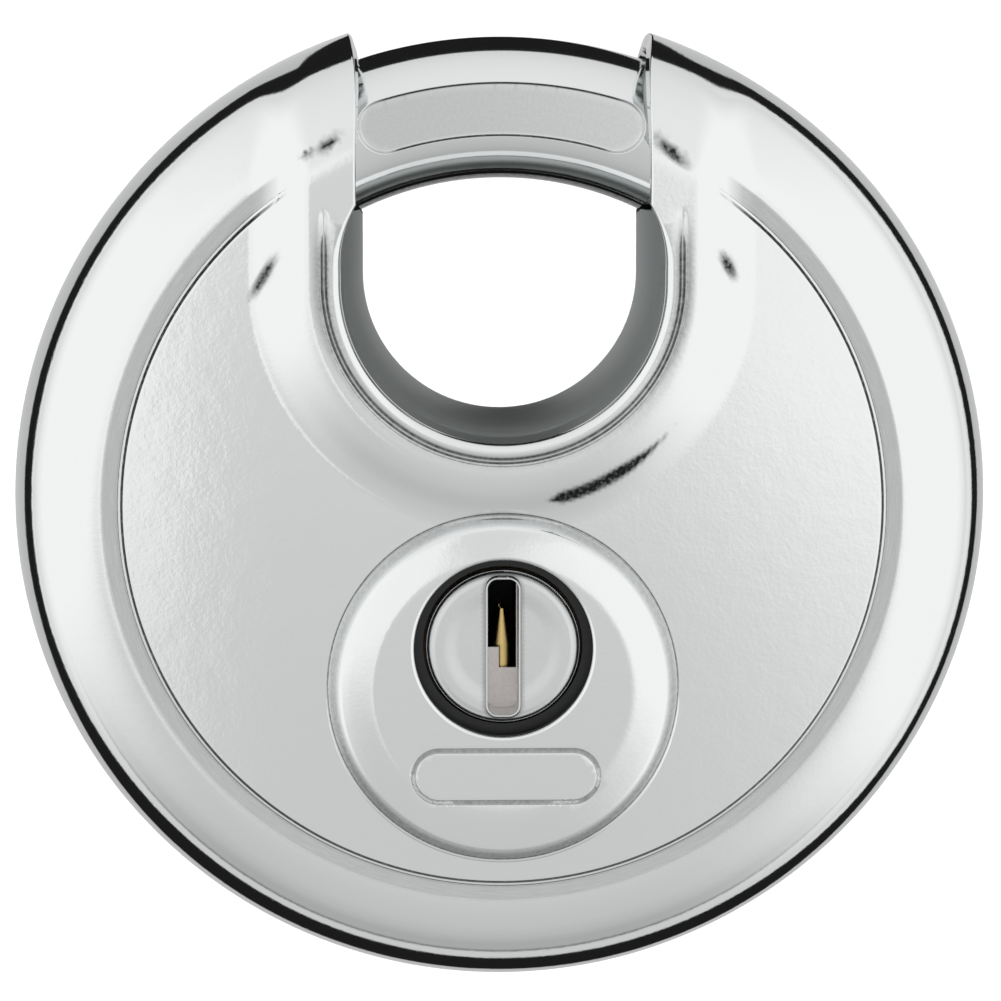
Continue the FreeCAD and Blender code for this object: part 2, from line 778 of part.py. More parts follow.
def round_box(half_width, half_height, radius):
    """A rectangle about the axis with rounded corners."""
    near = "(%s) - (%s)" % (half_width, radius)
    high = "(%s) - (%s)" % (half_height, radius)
    return [
        ("-(%s)" % half_width, high, radius, 1),
        ("-(%s)" % near, half_height),
        (near, half_height, radius, 1),
        (half_width, high),
        (half_width, "-(%s)" % high, radius, 1),
        (near, "-(%s)" % half_height),
        ("-(%s)" % near, "-(%s)" % half_height, radius, 1),
        ("-(%s)" % half_width, "-(%s)" % high),
    ]


def face_rotor():
    """Hardened disc on the plug's front, with the key slot and its thin raised rim."""
    body = new_body("face_rotor", drop="plug_drop")
    slot = round_box("slot_width / 2", "slot_height / 2", "slot_round")
    rim = round_box("slot_width / 2 + slot_rim", "slot_height / 2 + slot_rim / 2",
                    "slot_round + slot_rim / 2")
    slab(body, "plug_front", "rotor_front", circles=[("0", "0", "rotor_radius")])
    slab(body, "rotor_front", "rotor_front + slot_rim_height", [rim])
    cut_slab(body, "plug_front", "rotor_front + slot_rim_height", [slot])


def plug_clip():
    """Open ring in the groove of the plug's tail."""
    body = new_body("plug_clip", drop="plug_drop")
    slab(body, "-clip_back", "-clip_front", circles=[("0", "0", "clip_outer"), ("0", "0", "clip_inner")])
    cut_slab(body, "-clip_back", "-clip_front",
             [box_loop("-clip_mouth", "0", "clip_mouth", "clip_outer + clip_mouth")])


def crank():
    """Arm on the plug's tail, drawn pointing down and turned to its place. The distance from the plug's
    axis to the crank pin equals the distance between the two axes, so the shackle turns at half the
    plug's rate over the whole travel."""
    body = new_body("crank", drop="plug_drop", turn="-2 * shackle_turn")
    slab(body, "-crank_back", "-crank_front", circles=[("0", "0", "crank_hub")])
    slab(body, "-crank_back", "-crank_front",
         [box_loop("-crank_half_width", "-plug_drop", "crank_half_width", "0")])
    slab(body, "-crank_back", "-crank_front", circles=[("0", "-plug_drop", "crank_end")])
    cut_slab(body, "-crank_back", "-crank_front", [hexagon("hex_half_width + hex_clearance")])
    cut_slab(body, "-crank_back", "-crank_front", circles=[("0", "-plug_drop", "crank_pin_hole")])


def crank_pin():
    body = new_body("crank_pin", drop="plug_drop", turn="-2 * shackle_turn")
    slab(body, "-crank_back", "-crank_pin_front", circles=[("0", "-plug_drop", "crank_pin_radius")])


# ---------------------------------------------------------------- shackle group

def shackle():
    """Round bar bent to a little over half a ring. It is drawn with its tail straight down and its free
    end at the top, then turned back to the closed position."""
    body = new_body("shackle", turn="-shackle_turn")
    sweep = value("180 + free_end_back + tail_reach")
    turned(body, circles=[("ring_radius", "0", "bar_radius")], angle=sweep,
           start=-90.0 - value("free_end_back"))
    chamfer_free_end(body)
    turned_cut(body, [box_loop("ring_radius - 2 * bar_radius", "-2 * bar_radius",
                               "ring_radius + 2 * bar_radius", "-seat_depth")],
               angle=value("seat_angle"), start=90.0 - value("tail_reach"))
    holes = [("0", "-rivet_first", "rivet_hole"), ("0", "-rivet_second", "rivet_hole")]
    cut_slab(body, "-bar_radius", "rivet_end", circles=holes)
    shackle_panel(body)


def chamfer_free_end(body):
    """Chamfer the circle at the free end, the one that lies highest."""
    bar = body.Tip
    rings = [(edge.CenterOfMass.z, "Edge%d" % (i + 1)) for i, edge in enumerate(bar.Shape.Edges)
             if abs(edge.Length - 2 * math.pi * value("bar_radius")) < SAME_LENGTH]
    chamfer = body.newObject("PartDesign::Chamfer", "shackle_chamfer")
    chamfer.Base = (bar, [max(rings)[1]])
    chamfer.setExpression("Size", bound("free_end_chamfer"))
    doc.recompute()


def shackle_panel(body):
    """Shallow curved panel with round ends on the front of the exposed bar."""
    inner = "panel_radius - panel_half_width"
    outer = "panel_radius + panel_half_width"
    half = value("panel_half_angle")
    middle = value("shackle_turn")
    turned_cut(body, [box_loop(inner, "panel_floor", outer, "2 * bar_radius")],
               angle=2 * half, start=middle - half - 90.0)
    ends = [("panel_radius * sin(%f deg)" % angle, "panel_radius * cos(%f deg)" % angle, "panel_half_width")
            for angle in (middle - half, middle + half)]
    cut_slab(body, "panel_floor", "2 * bar_radius", circles=ends)


def tail_plate():
    """Plate on the shackle's tail with the radial slot for the crank pin, and a thicker part on the bar."""
    body = new_body("tail_plate", turn="-shackle_turn")
    slab(body, "-plate_back", "-plate_front",
         [box_loop("-plate_half_width", "-plate_outer", "plate_half_width", "-plate_inner")])
    slab(body, "-plate_front", "-seat_depth",
         [box_loop("-plate_half_width", "-plate_outer", "plate_half_width", "-pad_inner")])
    cut_slab(body, "-plate_back", "-plate_front",
             [box_loop("-slot_half_width", "-slot_outer", "slot_half_width", "-slot_inner")])
    for end in ("-slot_inner", "-slot_outer"):
        cut_slab(body, "-plate_back", "-plate_front", circles=[("0", end, "slot_half_width")])
    holes = [("0", "-rivet_first", "rivet_hole"), ("0", "-rivet_second", "rivet_hole")]
    cut_slab(body, "-plate_back", "-seat_depth", circles=holes)


def tail_rivets():
    body = new_body("tail_rivets", turn="-shackle_turn")
    places = ["-rivet_first", "-rivet_second"]
    heads = [("0", up, "rivet_head_radius") for up in places]
    shanks = [("0", up, "rivet_radius") for up in places]
    slab(body, "-plate_back - rivet_head", "-plate_back", circles=heads)
    slab(body, "-plate_back", "rivet_end - rivet_sink", circles=shanks)


# ---------------------------------------------------------------- build, check and write

def build():
    shell("front_shell", has_keyhole=True)
    rear = shell("rear_shell", has_keyhole=False)
    rear.Placement.Rotation = Rotation(Vector(0, 0, 1), 180)
    throat_liner()
    anti_drill_plate()
    lock_core()
    core_cover()
    cover_screws()
    barrel()
    chamber_strip()
    barrel_screw()
    plug()
    face_rotor()
    plug_clip()
    crank()
    crank_pin()
    shackle()
    tail_plate()
    tail_rivets()
    for number in range(1, len(KEY_PIN_LENGTHS) + 1):
        key_pin(number)
        driver_pin(number)
        pin_spring(number)
    doc.recompute()


def check():
    """Stop before writing if any object failed or any piece is empty or invalid."""
    for item in doc.Objects:
        bad = [state for state in item.State if state in ("Invalid", "Error")]
        assert not bad, "%s failed: %s" % (item.Name, bad)
    for name, piece in pieces.items():
        assert not piece.Shape.isNull(), name + " is empty"
        assert piece.Shape.isValid(), name + " is not valid"
        assert piece.Shape.Volume > 0, name + " has no volume"


def write():
    os.makedirs("parts", exist_ok=True)
    for name, piece in pieces.items():
        piece.Shape.exportStep(os.path.join("parts", name + ".step"))
        print("%-18s %2d solids %9.1f mm3" % (name, len(piece.Shape.Solids), piece.Shape.Volume))


fill_sheet()
build()
check()
write()
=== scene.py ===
import math

import bpy
import numpy as np
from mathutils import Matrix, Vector
from mathutils.geometry import delaunay_2d_cdt


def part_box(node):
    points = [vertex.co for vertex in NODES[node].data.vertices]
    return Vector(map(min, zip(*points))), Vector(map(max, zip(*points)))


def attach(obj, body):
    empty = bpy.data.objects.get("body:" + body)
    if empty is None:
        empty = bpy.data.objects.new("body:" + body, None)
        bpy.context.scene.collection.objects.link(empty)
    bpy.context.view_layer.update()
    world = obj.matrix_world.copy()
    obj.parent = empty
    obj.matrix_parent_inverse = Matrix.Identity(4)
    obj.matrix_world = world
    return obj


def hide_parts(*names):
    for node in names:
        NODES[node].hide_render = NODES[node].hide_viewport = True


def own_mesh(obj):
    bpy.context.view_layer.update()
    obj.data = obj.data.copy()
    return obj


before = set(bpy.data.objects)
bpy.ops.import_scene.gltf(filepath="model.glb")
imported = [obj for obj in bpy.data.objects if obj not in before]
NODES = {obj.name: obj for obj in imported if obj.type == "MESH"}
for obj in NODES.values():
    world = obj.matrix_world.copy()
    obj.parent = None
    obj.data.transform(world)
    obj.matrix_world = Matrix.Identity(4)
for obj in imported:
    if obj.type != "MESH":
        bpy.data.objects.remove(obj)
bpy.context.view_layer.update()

MM = 0.001

# All lengths below are in millimetres. Points are (x, rise, depth): rise is the height above the disc's
# axis, and depth the distance from the plane where the two shells meet. A section is given as parts, each
# with its length and its first and last slope in degrees.
RING_RADIUS = 36.0
DISC_RADIUS = 45.0
RIM_HALF = 2.4
SHOULDER_RADIUS = 8.4
SHOULDER_START = DISC_RADIUS - SHOULDER_RADIUS
SHOULDER_END = SHOULDER_START + SHOULDER_RADIUS * math.pi / 2
SECTION_END = SHOULDER_END + RIM_HALF
PLATEAU = 11.6
PLATEAU_SAG = 0.3
STEP_START = 34.55
STEP_PARTS = ((0.13, 0.0, 60.0), (0.38, 60.0, 60.0), (0.1, 60.0, 0.0), (0.12, 0.0, 0.0),
              (0.05, 0.0, 60.0), (0.1, 60.0, 60.0), (0.05, 60.0, 0.0))
WALL = 1.6
ENVELOPE_RADIUS = 10.8
ENVELOPE_START = DISC_RADIUS - ENVELOPE_RADIUS
BAND_END = 20.2

THROAT_RISE = 20.7
LIP_RADIUS = 14.7
LIP_FOOT = 8.0
LIP_ROUND = 0.78
LIP_PARTS = ((0.76, 0.0, 56.0), (0.16, 56.0, -48.0), (0.31, -48.0, -48.0), (0.3, -48.0, 0.0))
TIP_HALF_GAP = 13.3
TIP_CURVE_START = THROAT_RISE + 1.9
TIP_CURVE_END = THROAT_RISE + 7.1
TIP_CURVE_RADIUS = 10.36
TIP_ROUND = 0.25
TIP_FLARE = 0.62
TIP_FLARE_START = 40.0
RIM_ROUND = 0.14
COLLAR_DEPTH = 13.2
COLLAR_TOP = 17.2
COLLAR_FOOT = 23.2

# Painted dark reflection lines on the polished steel: middle, half width, fading width and darkness.
LIP_LINES = ((0.5, 0.08, 0.12, 0.8), (1.16, 0.02, 0.08, 0.7), (-0.45, 0.12, 0.15, 0.4),
             (-0.8, 0.06, 0.1, 0.95))
# Where the painted dark reflection streak lies on the collar's slope, and its half width.
STREAK_MIDDLE = 20.3
STREAK_HALF = 0.7
# Long dark patches painted on the polished front: middle x and rise, bearing, half length and half width.
DARK_PATCHES = ((-21.7, 21.2, 59.0, 1.9, 0.42), (20.4, 22.2, 118.0, 1.2, 0.45), (-15.6, 33.2, 38.0, 1.1, 0.35),
           (-17.6, 32.3, 28.0, 0.8, 0.2), (15.0, 32.5, 139.0, 1.8, 0.45))

BOSS_RISE = -16.45
BOSS_DEPTH = 13.5
BOSS_PARTS = ((11.6, 0.0, 0.0), (0.7, 0.0, 5.0), (2.4, 5.0, 7.0), (0.45, 7.0, 58.0), (1.64, 58.0, 58.0),
              (0.3, 58.0, 0.0), (0.4, 0.0, 80.0))
BOSS_LINE = 16.05
# Painted shade lines round the boss: middle outside BOSS_LINE, half width, fading width, darkness, and how
# much is added to the darkness towards the bottom.
BOSS_SHADES = ((0.0, 0.04, 0.07, 0.75, 0.0), (-0.42, 0.26, 0.14, 0.42, 0.2), (-0.9, 0.03, 0.08, 0.4, 0.5))
PILL_RISE = -24.45
PILL_SHIFT = 0.25
PILL_HALF_LENGTH = 6.1
PILL_RADIUS = 2.4
PILL_HALF_WIDTH = 0.17
PILL_DEPTH = 0.13
PILL_EDGE = 0.1
PILL_SPACING = 0.2
PLUG_RISE = -12.65
KEYHOLE_RADIUS = 8.16
KEYHOLE_ROUND = 0.3
KEYHOLE_SPACING = 0.3

BAR_RADIUS = 6.5
BAR_START = math.radians(-30.5)
BAR_END = math.radians(159.0)
END_CHAMFER = 1.2
SEAT_START = math.radians(141.0)
SEAT_DEPTH = 4.0

SPRING_RADIUS = 0.7
SPRING_WIRE = 0.12
SPRING_TURNS = 6.0
SPRING_GAP = 0.03
SPRING_STEPS = 24
SPRING_SIDES = 8

PANEL_HALF_LENGTH = 10.7
PANEL_HALF_WIDTH = 2.45
PANEL_SHIFT = 0.1
PANEL_FLOOR = 5.62
PANEL_EDGE = (0.14, -0.16)

ROTOR_RADIUS = 7.0
ROTOR_FRONT = 12.3
ROTOR_BACK = 8.4
ROTOR_ROUND = 0.9
ROTOR_ROUND_END = 0.966
ROTOR_EDGE = 0.01
SLOT_HALF_WIDTH = 1.4
SLOT_HALF_HEIGHT = 6.25
SLOT_CORNER = 0.9
SLOT_RIM = 0.22
SLOT_RIM_HEIGHT = 0.25
SLOT_RIM_STEPS = (-0.02, 0.0, 0.06, 0.12)
SLOT_ROUND = 0.1
DISH_EDGE = 5.6
DISH_FLOOR = 4.0
DISH_DEPTH = 0.12

RING_COUNT = 760
BOSS_COUNT = 420
END_COUNT = 40
SPACING = 0.6
FINE_SPACING = 0.35
ROTOR_SPACING = 0.2
ROTOR_LATTICE = 0.25
MARGIN = 0.3
BORDER_GAP = 0.2
LINE_GAP = 0.04
CREASE = 0.02
STEP = 0.004


# ---------------------------------------------------------------- small helpers

def smooth(value, low, high):
    """0 below low, 1 above high and an S-curve between. Low may be the larger one."""
    t = np.clip((value - low) / (high - low), 0.0, 1.0)
    return t * t * (3.0 - 2.0 * t)


def smoother(value, low, high):
    """Like smooth, but its ends have no curvature either."""
    t = np.clip((value - low) / (high - low), 0.0, 1.0)
    return t ** 3 * (t * (6.0 * t - 15.0) + 10.0)


def unit(vectors):
    length = np.linalg.norm(vectors, axis=-1, keepdims=True)
    return vectors / np.maximum(length, 1e-12)


def columns(*values):
    return np.stack(np.broadcast_arrays(*values), axis=-1).astype(float)


def to_frame(points, side):
    """From (x, rise, depth) in millimetres to the part's frame in metres. Side is 1 in front, -1 behind."""
    return columns(points[:, 0], -side * points[:, 2], points[:, 1] - RING_RADIUS) * MM


def turn_to_frame(directions, side):
    return columns(directions[:, 0], -side * directions[:, 2], directions[:, 1])


def normals_of(surface, flat):
    """Normals of surface(u, v) at the rows of flat, by central differences."""
    u, v = flat[:, 0], flat[:, 1]
    along_u = surface(u + STEP, v) - surface(u - STEP, v)
    along_v = surface(u, v + STEP) - surface(u, v - STEP)
    return unit(np.cross(along_u, along_v))


def walk(parts):
    """Run and fall along a section."""
    run, fall = [0.0], [0.0]
    for length, first, last in parts:
        count = max(3, int(abs(last - first) / 7.0))
        slopes = np.radians(first + (last - first) * (np.arange(count) + 0.5) / count)
        for slope in slopes:
            run.append(run[-1] + length / count * math.cos(slope))
            fall.append(fall[-1] + length / count * math.sin(slope))
    return np.array(run), np.array(fall)


def lattice(low, high, spacing):
    """A triangular lattice of points over a rectangle."""
    rise = spacing * math.sqrt(3.0) / 2.0
    rows = np.arange(low[1], high[1], rise)
    points = []
    for index, height in enumerate(rows):
        across = np.arange(low[0] + spacing / 2.0 * (index % 2), high[0], spacing)
        points.append(columns(across, height))
    return np.concatenate(points)


def circle(radius, centre, spacing):
    count = max(12, int(2.0 * math.pi * radius / spacing))
    angle = np.arange(count) * 2.0 * math.pi / count
    return columns(centre[0] + radius * np.cos(angle), centre[1] + radius * np.sin(angle))


def aligned_rings(radii, rise, count):
    """Rings about one centre with the same number of points each, so that they join in even strips."""
    angle = np.arange(count) * 2.0 * math.pi / count
    return [columns(radius * np.sin(angle), rise + radius * np.cos(angle)) for radius in radii]


def far_from(points, others, distance):
    """The points that are further than distance from every one of the others."""
    keep = np.ones(len(points), bool)
    for start in range(0, len(others), 64):
        gap = points[:, None, :] - others[None, start:start + 64, :]
        keep &= (np.einsum("ijk,ijk->ij", gap, gap) > distance * distance).all(axis=1)
    return points[keep]


def inside(points, loop):
    """Which points lie inside a closed loop."""
    result = np.zeros(len(points), bool)
    following = np.roll(loop, -1, axis=0)
    for (x0, y0), (x1, y1) in zip(loop, following):
        crosses = (y0 > points[:, 1]) != (y1 > points[:, 1])
        if y0 != y1:
            result ^= crosses & (points[:, 0] < (x1 - x0) * (points[:, 1] - y0) / (y1 - y0) + x0)
    return result


def triangulate(loops, free):
    """Triangles over the region inside the first loop and outside the others, with the free points."""
    points = np.concatenate(loops + [free])
    edges = []
    start = 0
    for loop in loops:
        count = len(loop)
        edges += [(start + i, start + (i + 1) % count) for i in range(count)]
        start += count
    made = delaunay_2d_cdt([Vector(p) for p in points], edges, [], 1, 1e-6)
    source = [sorted(origins)[0] if origins else -1 for origins in made[3]]
    faces = np.array([[source[i] for i in face] for face in made[2]])
    centres = points[faces].mean(axis=1)
    keep = np.ones(len(faces), bool)
    for hole in loops[1:]:
        keep &= ~inside(centres, hole)
    return points, faces[keep]


def add_mesh(name, points, normals, faces, material, painted_shade):
    """A mesh object with its own vertex normals. Painted shade darkens the first points, not the rest."""
    mesh = bpy.data.meshes.new(name)
    mesh.from_pydata(points.tolist(), [], [list(map(int, face)) for face in faces])
    mesh.update()
    mesh.polygons.foreach_set("use_smooth", [True] * len(mesh.polygons))
    mesh.normals_split_custom_set_from_vertices([tuple(n) for n in normals])
    values = np.zeros(len(points), np.float32)
    values[:len(painted_shade)] = painted_shade
    mesh.attributes.new("painted_shade", "FLOAT", "POINT").data.foreach_set("value", values)
    mesh.materials.append(material)
    piece = bpy.data.objects.new(name, mesh)
    bpy.context.scene.collection.objects.link(piece)
    return piece


def sheet_solid(front, back, borders, free):
    """A closed solid between two faces over one flat region.

    A border is (flat, towards, rounding, drop): its flat points in order with the region on their left, the
    direction in which the edge looks, the radius of its rounded edge and the straight run below that.
    """
    flat, triangles = triangulate([b[0] for b in borders], free)
    top, top_normals = front(flat[:, 0], flat[:, 1]), normals_of(front, flat)
    low, low_normals = back(flat[:, 0], flat[:, 1]), -normals_of(back, flat)
    points, normals = [top, low], [top_normals, low_normals]
    faces = [triangles, triangles[:, ::-1] + len(flat)]
    total = 2 * len(flat)
    start = 0
    for loop, towards, rounding, drop in borders:
        count = len(loop)
        edge, normal = top[start:start + count], top_normals[start:start + count]
        rounding, drop = rounding[:, None], drop[:, None]
        centre = edge - rounding * normal
        rows, looks = [], []
        for angle in np.linspace(0.0, math.pi / 2, 7)[1:]:
            look = math.sin(angle) * towards + math.cos(angle) * normal
            rows.append(centre + rounding * look)
            looks.append(look)
        rows.append(centre + rounding * towards - drop * normal)
        looks.append(towards)
        rows.append(centre + 0.5 * rounding * towards - (drop + 0.3 * rounding) * normal)
        looks.append(unit(towards - 2.0 * normal))
        here = start + np.arange(count)
        for row, look in zip(rows, looks):
            below = total + np.arange(count)
            faces.append(quads(here, below))
            points.append(row)
            normals.append(unit(look))
            total += count
            here = below
        faces.append(quads(here, len(flat) + start + np.arange(count)))
        start += count
    return np.concatenate(points), np.concatenate(normals), [f for group in faces for f in group], flat


def quads(upper, lower):
    return columns(np.roll(upper, -1), upper, lower, np.roll(lower, -1)).astype(int)


# ---------------------------------------------------------------- shells

STEP_RUN, STEP_FALL = walk(STEP_PARTS)
LIP_RUN, LIP_FALL = walk(LIP_PARTS)
BOSS_RUN, BOSS_FALL = walk(BOSS_PARTS)
BAND_START = STEP_START + STEP_RUN[-1]
LIP_CREST = LIP_RADIUS + LIP_ROUND
# Painted dark reflection lines along the step's creases: middle, half width, fading width and darkness.
STEP_LINES = ((STEP_START + 0.2, 0.1, 0.07, 1.0), (BAND_START - 0.06, 0.03, 0.05, 0.62))


def plain_section(s, inset):
    """Radius and depth of the plain shell at distance s from the axis along its section."""
    turn = np.clip((s - SHOULDER_START) / SHOULDER_RADIUS, 0.0, math.pi / 2)
    arc = SHOULDER_RADIUS - inset
    radius = np.minimum(s, SHOULDER_START) + arc * np.sin(turn)
    flat = PLATEAU - PLATEAU_SAG * (np.minimum(s, STEP_START) / STEP_START) ** 2
    flat = flat - np.interp(s - STEP_START, STEP_RUN, STEP_FALL)
    band = np.clip((s - BAND_START) / (SHOULDER_START - BAND_START), 0.0, 1.0)
    flat = flat + (RIM_HALF + SHOULDER_RADIUS - flat) * band
    depth = flat - inset - arc * (1.0 - np.cos(turn)) - np.maximum(s - SHOULDER_END, 0.0)
    return radius, depth


def raised_section(s, inset):
    """The same for the raised collar, which swells the shoulder near the throat."""
    turn = np.clip((s - ENVELOPE_START) / (SHOULDER_END - ENVELOPE_START), 0.0, 1.0) * math.pi / 2
    arc = ENVELOPE_RADIUS - inset
    radius = np.minimum(s, ENVELOPE_START) + arc * np.sin(turn)
    depth = COLLAR_DEPTH - inset - arc * (1.0 - np.cos(turn)) - np.maximum(s - SHOULDER_END, 0.0)
    return radius, depth


def throat_distance(x, rise):
    """Distance from the line down the middle of the throat, round the U's centre below it."""
    return np.where(rise < THROAT_RISE, np.hypot(x, rise - THROAT_RISE), np.abs(x))


def shell_face(inset, has_boss):
    """The shell's outer face, or with an inset the face that lies that far inside it."""
    def face(u, v):
        s = np.maximum(np.hypot(u, v), 1e-9)
        plain_radius, plain_depth = plain_section(s, inset)
        raised_radius, raised_depth = raised_section(s, inset)
        x, rise = plain_radius * u / s, plain_radius * v / s
        away = throat_distance(x, rise)
        weight = smoother(away, COLLAR_FOOT, COLLAR_TOP)
        radius = plain_radius + (raised_radius - plain_radius) * weight
        depth = plain_depth + (raised_depth - plain_depth) * weight
        lip = smooth(rise, TIP_CURVE_END, TIP_CURVE_START + 1.0)
        depth = depth - lip * np.interp(away - LIP_CREST, LIP_RUN, LIP_FALL)
        if has_boss:
            depth = np.maximum(depth, boss_depth(u, v, inset))
        return columns(radius * u / s, radius * v / s, depth)
    return face


def boss_depth(u, v, inset):
    away = np.hypot(u, v - BOSS_RISE)
    radii = BOSS_RUN - inset * (BOSS_RUN > BOSS_RUN[3])
    depth = np.interp(away, radii, BOSS_DEPTH - inset - BOSS_FALL, right=-DISC_RADIUS)
    groove = np.abs(pill_distance(u, v)) - PILL_HALF_WIDTH
    return depth - PILL_DEPTH * smooth(groove, PILL_EDGE, 0.0)


def pill_distance(u, v):
    """Distance outside the long round-ended outline engraved on the boss."""
    along = np.maximum(np.abs(u - PILL_SHIFT) - PILL_HALF_LENGTH, 0.0)
    return np.hypot(along, v - PILL_RISE) - PILL_RADIUS


def pill_ring(away, spacing):
    ring = round_ended(PILL_HALF_LENGTH, PILL_RADIUS + away, spacing)
    return ring + np.array([PILL_SHIFT, PILL_RISE])


def throat_rows(top):
    """Bearings of the points round the right half of the throat's foot, and rises of those up its side."""
    arc = np.radians(np.linspace(-90.0, 0.0, int(LIP_RADIUS * math.pi / 2 / FINE_SPACING)))
    straight = np.arange(THROAT_RISE + FINE_SPACING, top - FINE_SPACING / 2, FINE_SPACING)
    return arc, straight


def throat_line(distance):
    """Points along the whole throat at one distance from its middle."""
    arc, straight = throat_rows(TIP_CURVE_END)
    foot = columns(distance * np.cos(arc), THROAT_RISE + distance * np.sin(arc))
    right = np.concatenate([foot, columns(distance, straight)])
    return np.concatenate([right, right[1:] * np.array([-1.0, 1.0])])


def throat_wall():
    """The right half of the throat's wall, from its lowest point up: direction outward, and place."""
    arc, straight = throat_rows(TIP_CURVE_START)
    end = math.asin((TIP_CURVE_END - TIP_CURVE_START) / TIP_CURVE_RADIUS)
    curve = np.linspace(0.0, end, int(TIP_CURVE_RADIUS * end / FINE_SPACING))
    out = np.concatenate([columns(np.cos(arc), np.sin(arc)), columns(np.ones(len(straight)), 0.0),
                          columns(np.cos(curve), np.sin(curve))])
    out[-1] = unit(out[-1] + np.array([1.0, 0.0]))
    foot = columns(LIP_RADIUS * np.cos(arc), THROAT_RISE + LIP_RADIUS * np.sin(arc))
    bend = columns(LIP_RADIUS - TIP_CURVE_RADIUS + TIP_CURVE_RADIUS * np.cos(curve),
                   TIP_CURVE_START + TIP_CURVE_RADIUS * np.sin(curve))
    return out, np.concatenate([foot, columns(LIP_RADIUS, straight), bend])


def throat_tip(start):
    """The edge beside the shackle's bar, from the distance where the throat's wall ends to the rim."""
    reach = np.arange(start + FINE_SPACING, SECTION_END - RIM_ROUND - FINE_SPACING / 2, FINE_SPACING)
    radius, _ = raised_section(reach, 0.0)
    edge = TIP_HALF_GAP + TIP_ROUND + TIP_FLARE * smooth(reach, TIP_FLARE_START, SECTION_END)
    sine = edge / radius
    return columns(reach * sine, reach * np.sqrt(1.0 - sine ** 2))


def throat_side():
    """The right half of the throat's outline, from its lowest point to the rim: points on the flat region,
    direction into the throat, radius of the rounded edge and straight run below it."""
    out, base = throat_wall()
    upward = smooth(base[:, 1], TIP_CURVE_START - 1.0, TIP_CURVE_END)
    rounding = LIP_ROUND + (TIP_ROUND - LIP_ROUND) * upward
    wall_drop = WALL - 2.0 * TIP_ROUND
    lip_drop = COLLAR_DEPTH - LIP_ROUND - LIP_FOOT
    drop = lip_drop + (wall_drop - lip_drop) * upward
    flat = base + rounding[:, None] * out
    towards = columns(-out[:, 0], -out[:, 1], 0.0)
    tip = throat_tip(math.hypot(flat[-1, 0], flat[-1, 1]))
    count = len(tip)
    flat = np.concatenate([flat, tip])
    towards = np.concatenate([towards, np.tile([-1.0, 0.0, 0.0], (count, 1))])
    rounding = np.concatenate([rounding, np.full(count, TIP_ROUND)])
    drop = np.concatenate([drop, np.full(count, wall_drop)])
    return flat, towards, rounding, drop


def rim_side():
    """The rim from the right tip clockwise to the left tip, with a point at each corner."""
    reach = SECTION_END - RIM_ROUND
    corner = math.asin((TIP_HALF_GAP + TIP_FLARE + TIP_ROUND) / DISC_RADIUS)
    span = 2.0 * (math.pi - corner)
    angle = np.linspace(corner, corner + span, int(span * DISC_RADIUS / FINE_SPACING))
    flat = columns(reach * np.sin(angle), reach * np.cos(angle))
    towards = np.tile([0.0, 0.0, -1.0], (len(angle), 1))
    towards[0] = unit(np.array([-1.0, 0.0, -1.0]))
    towards[-1] = unit(np.array([1.0, 0.0, -1.0]))
    return flat, towards, np.full(len(angle), RIM_ROUND), np.full(len(angle), WALL - 2.0 * RIM_ROUND)


def outer_border():
    """The whole outer border, anticlockwise: up the right tip is walked backwards round the throat."""
    half = throat_side()
    mirrored = [part.copy() for part in half]
    mirrored[0][:, 0] *= -1.0
    mirrored[1][:, 0] *= -1.0
    rim = rim_side()
    parts = []
    for left, right, edge in zip(mirrored, half, rim):
        parts.append(np.concatenate([right[::-1], left[1:], edge[::-1]]))
    return parts


def even_border(ring, towards, rounding, drop):
    """A border whose edge looks sideways and is the same all along."""
    count = len(ring)
    return [ring, columns(towards[:, 0], towards[:, 1], 0.0), np.full(count, rounding), np.full(count, drop)]


def keyhole_border():
    """The keyhole, clockwise, so that the region lies on its left."""
    ring = circle(KEYHOLE_RADIUS + KEYHOLE_ROUND, (0.0, PLUG_RISE), KEYHOLE_SPACING)[::-1]
    inward = unit(np.array([0.0, PLUG_RISE]) - ring)
    return even_border(ring, inward, KEYHOLE_ROUND, WALL - 2.0 * KEYHOLE_ROUND)


def open_points():
    """A lattice over the shell, finer on the collar's slope, and clear of the lip, the step and the rim."""
    reach = SECTION_END
    points = lattice((-reach, -reach), (reach, reach), SPACING)
    fine = lattice((-reach, -reach), (reach, reach), FINE_SPACING)
    low, high = COLLAR_TOP - MARGIN, COLLAR_FOOT + MARGIN
    away = throat_distance(fine[:, 0], fine[:, 1])
    collar = fine[(away > low) & (away < high)]
    away = throat_distance(points[:, 0], points[:, 1])
    points = np.concatenate([points[(away < low) | (away > high)], collar])
    away = throat_distance(points[:, 0], points[:, 1])
    beside = (away < LIP_CREST + LIP_RUN[-1] + 0.2) & (points[:, 1] < TIP_CURVE_END)
    points = points[~beside]
    s = np.hypot(points[:, 0], points[:, 1])
    step = (s > STEP_START - MARGIN) & (s < BAND_START + MARGIN)
    return points[(s < reach - RIM_ROUND - MARGIN) & ~step & (np.abs(s - SHOULDER_START) > MARGIN)]


def boss_points(points, hole):
    """The points that are clear of the boss's creases and of its hole, and rings along the creases."""
    away = np.hypot(points[:, 0], points[:, 1] - BOSS_RISE)
    radii = BOSS_RUN[3:-1]
    points = points[(away < radii[0] - MARGIN) | (away > radii[-1] + MARGIN)]
    groove = np.abs(pill_distance(points[:, 0], points[:, 1])) - PILL_HALF_WIDTH
    points = far_from(points[groove > PILL_EDGE + 0.15], hole, MARGIN)
    radii = np.concatenate([[radii[0] - 0.15], radii, [radii[-1] + 0.12, radii[-1] + 0.25]])
    edges = [side * (PILL_HALF_WIDTH + PILL_EDGE * share) for side in (-1.0, 1.0)
             for share in (0.0, 0.5, 1.0)]
    rings = aligned_rings(radii, BOSS_RISE, BOSS_COUNT) + [pill_ring(away, PILL_SPACING) for away in edges]
    return points[~inside(points, hole)], rings


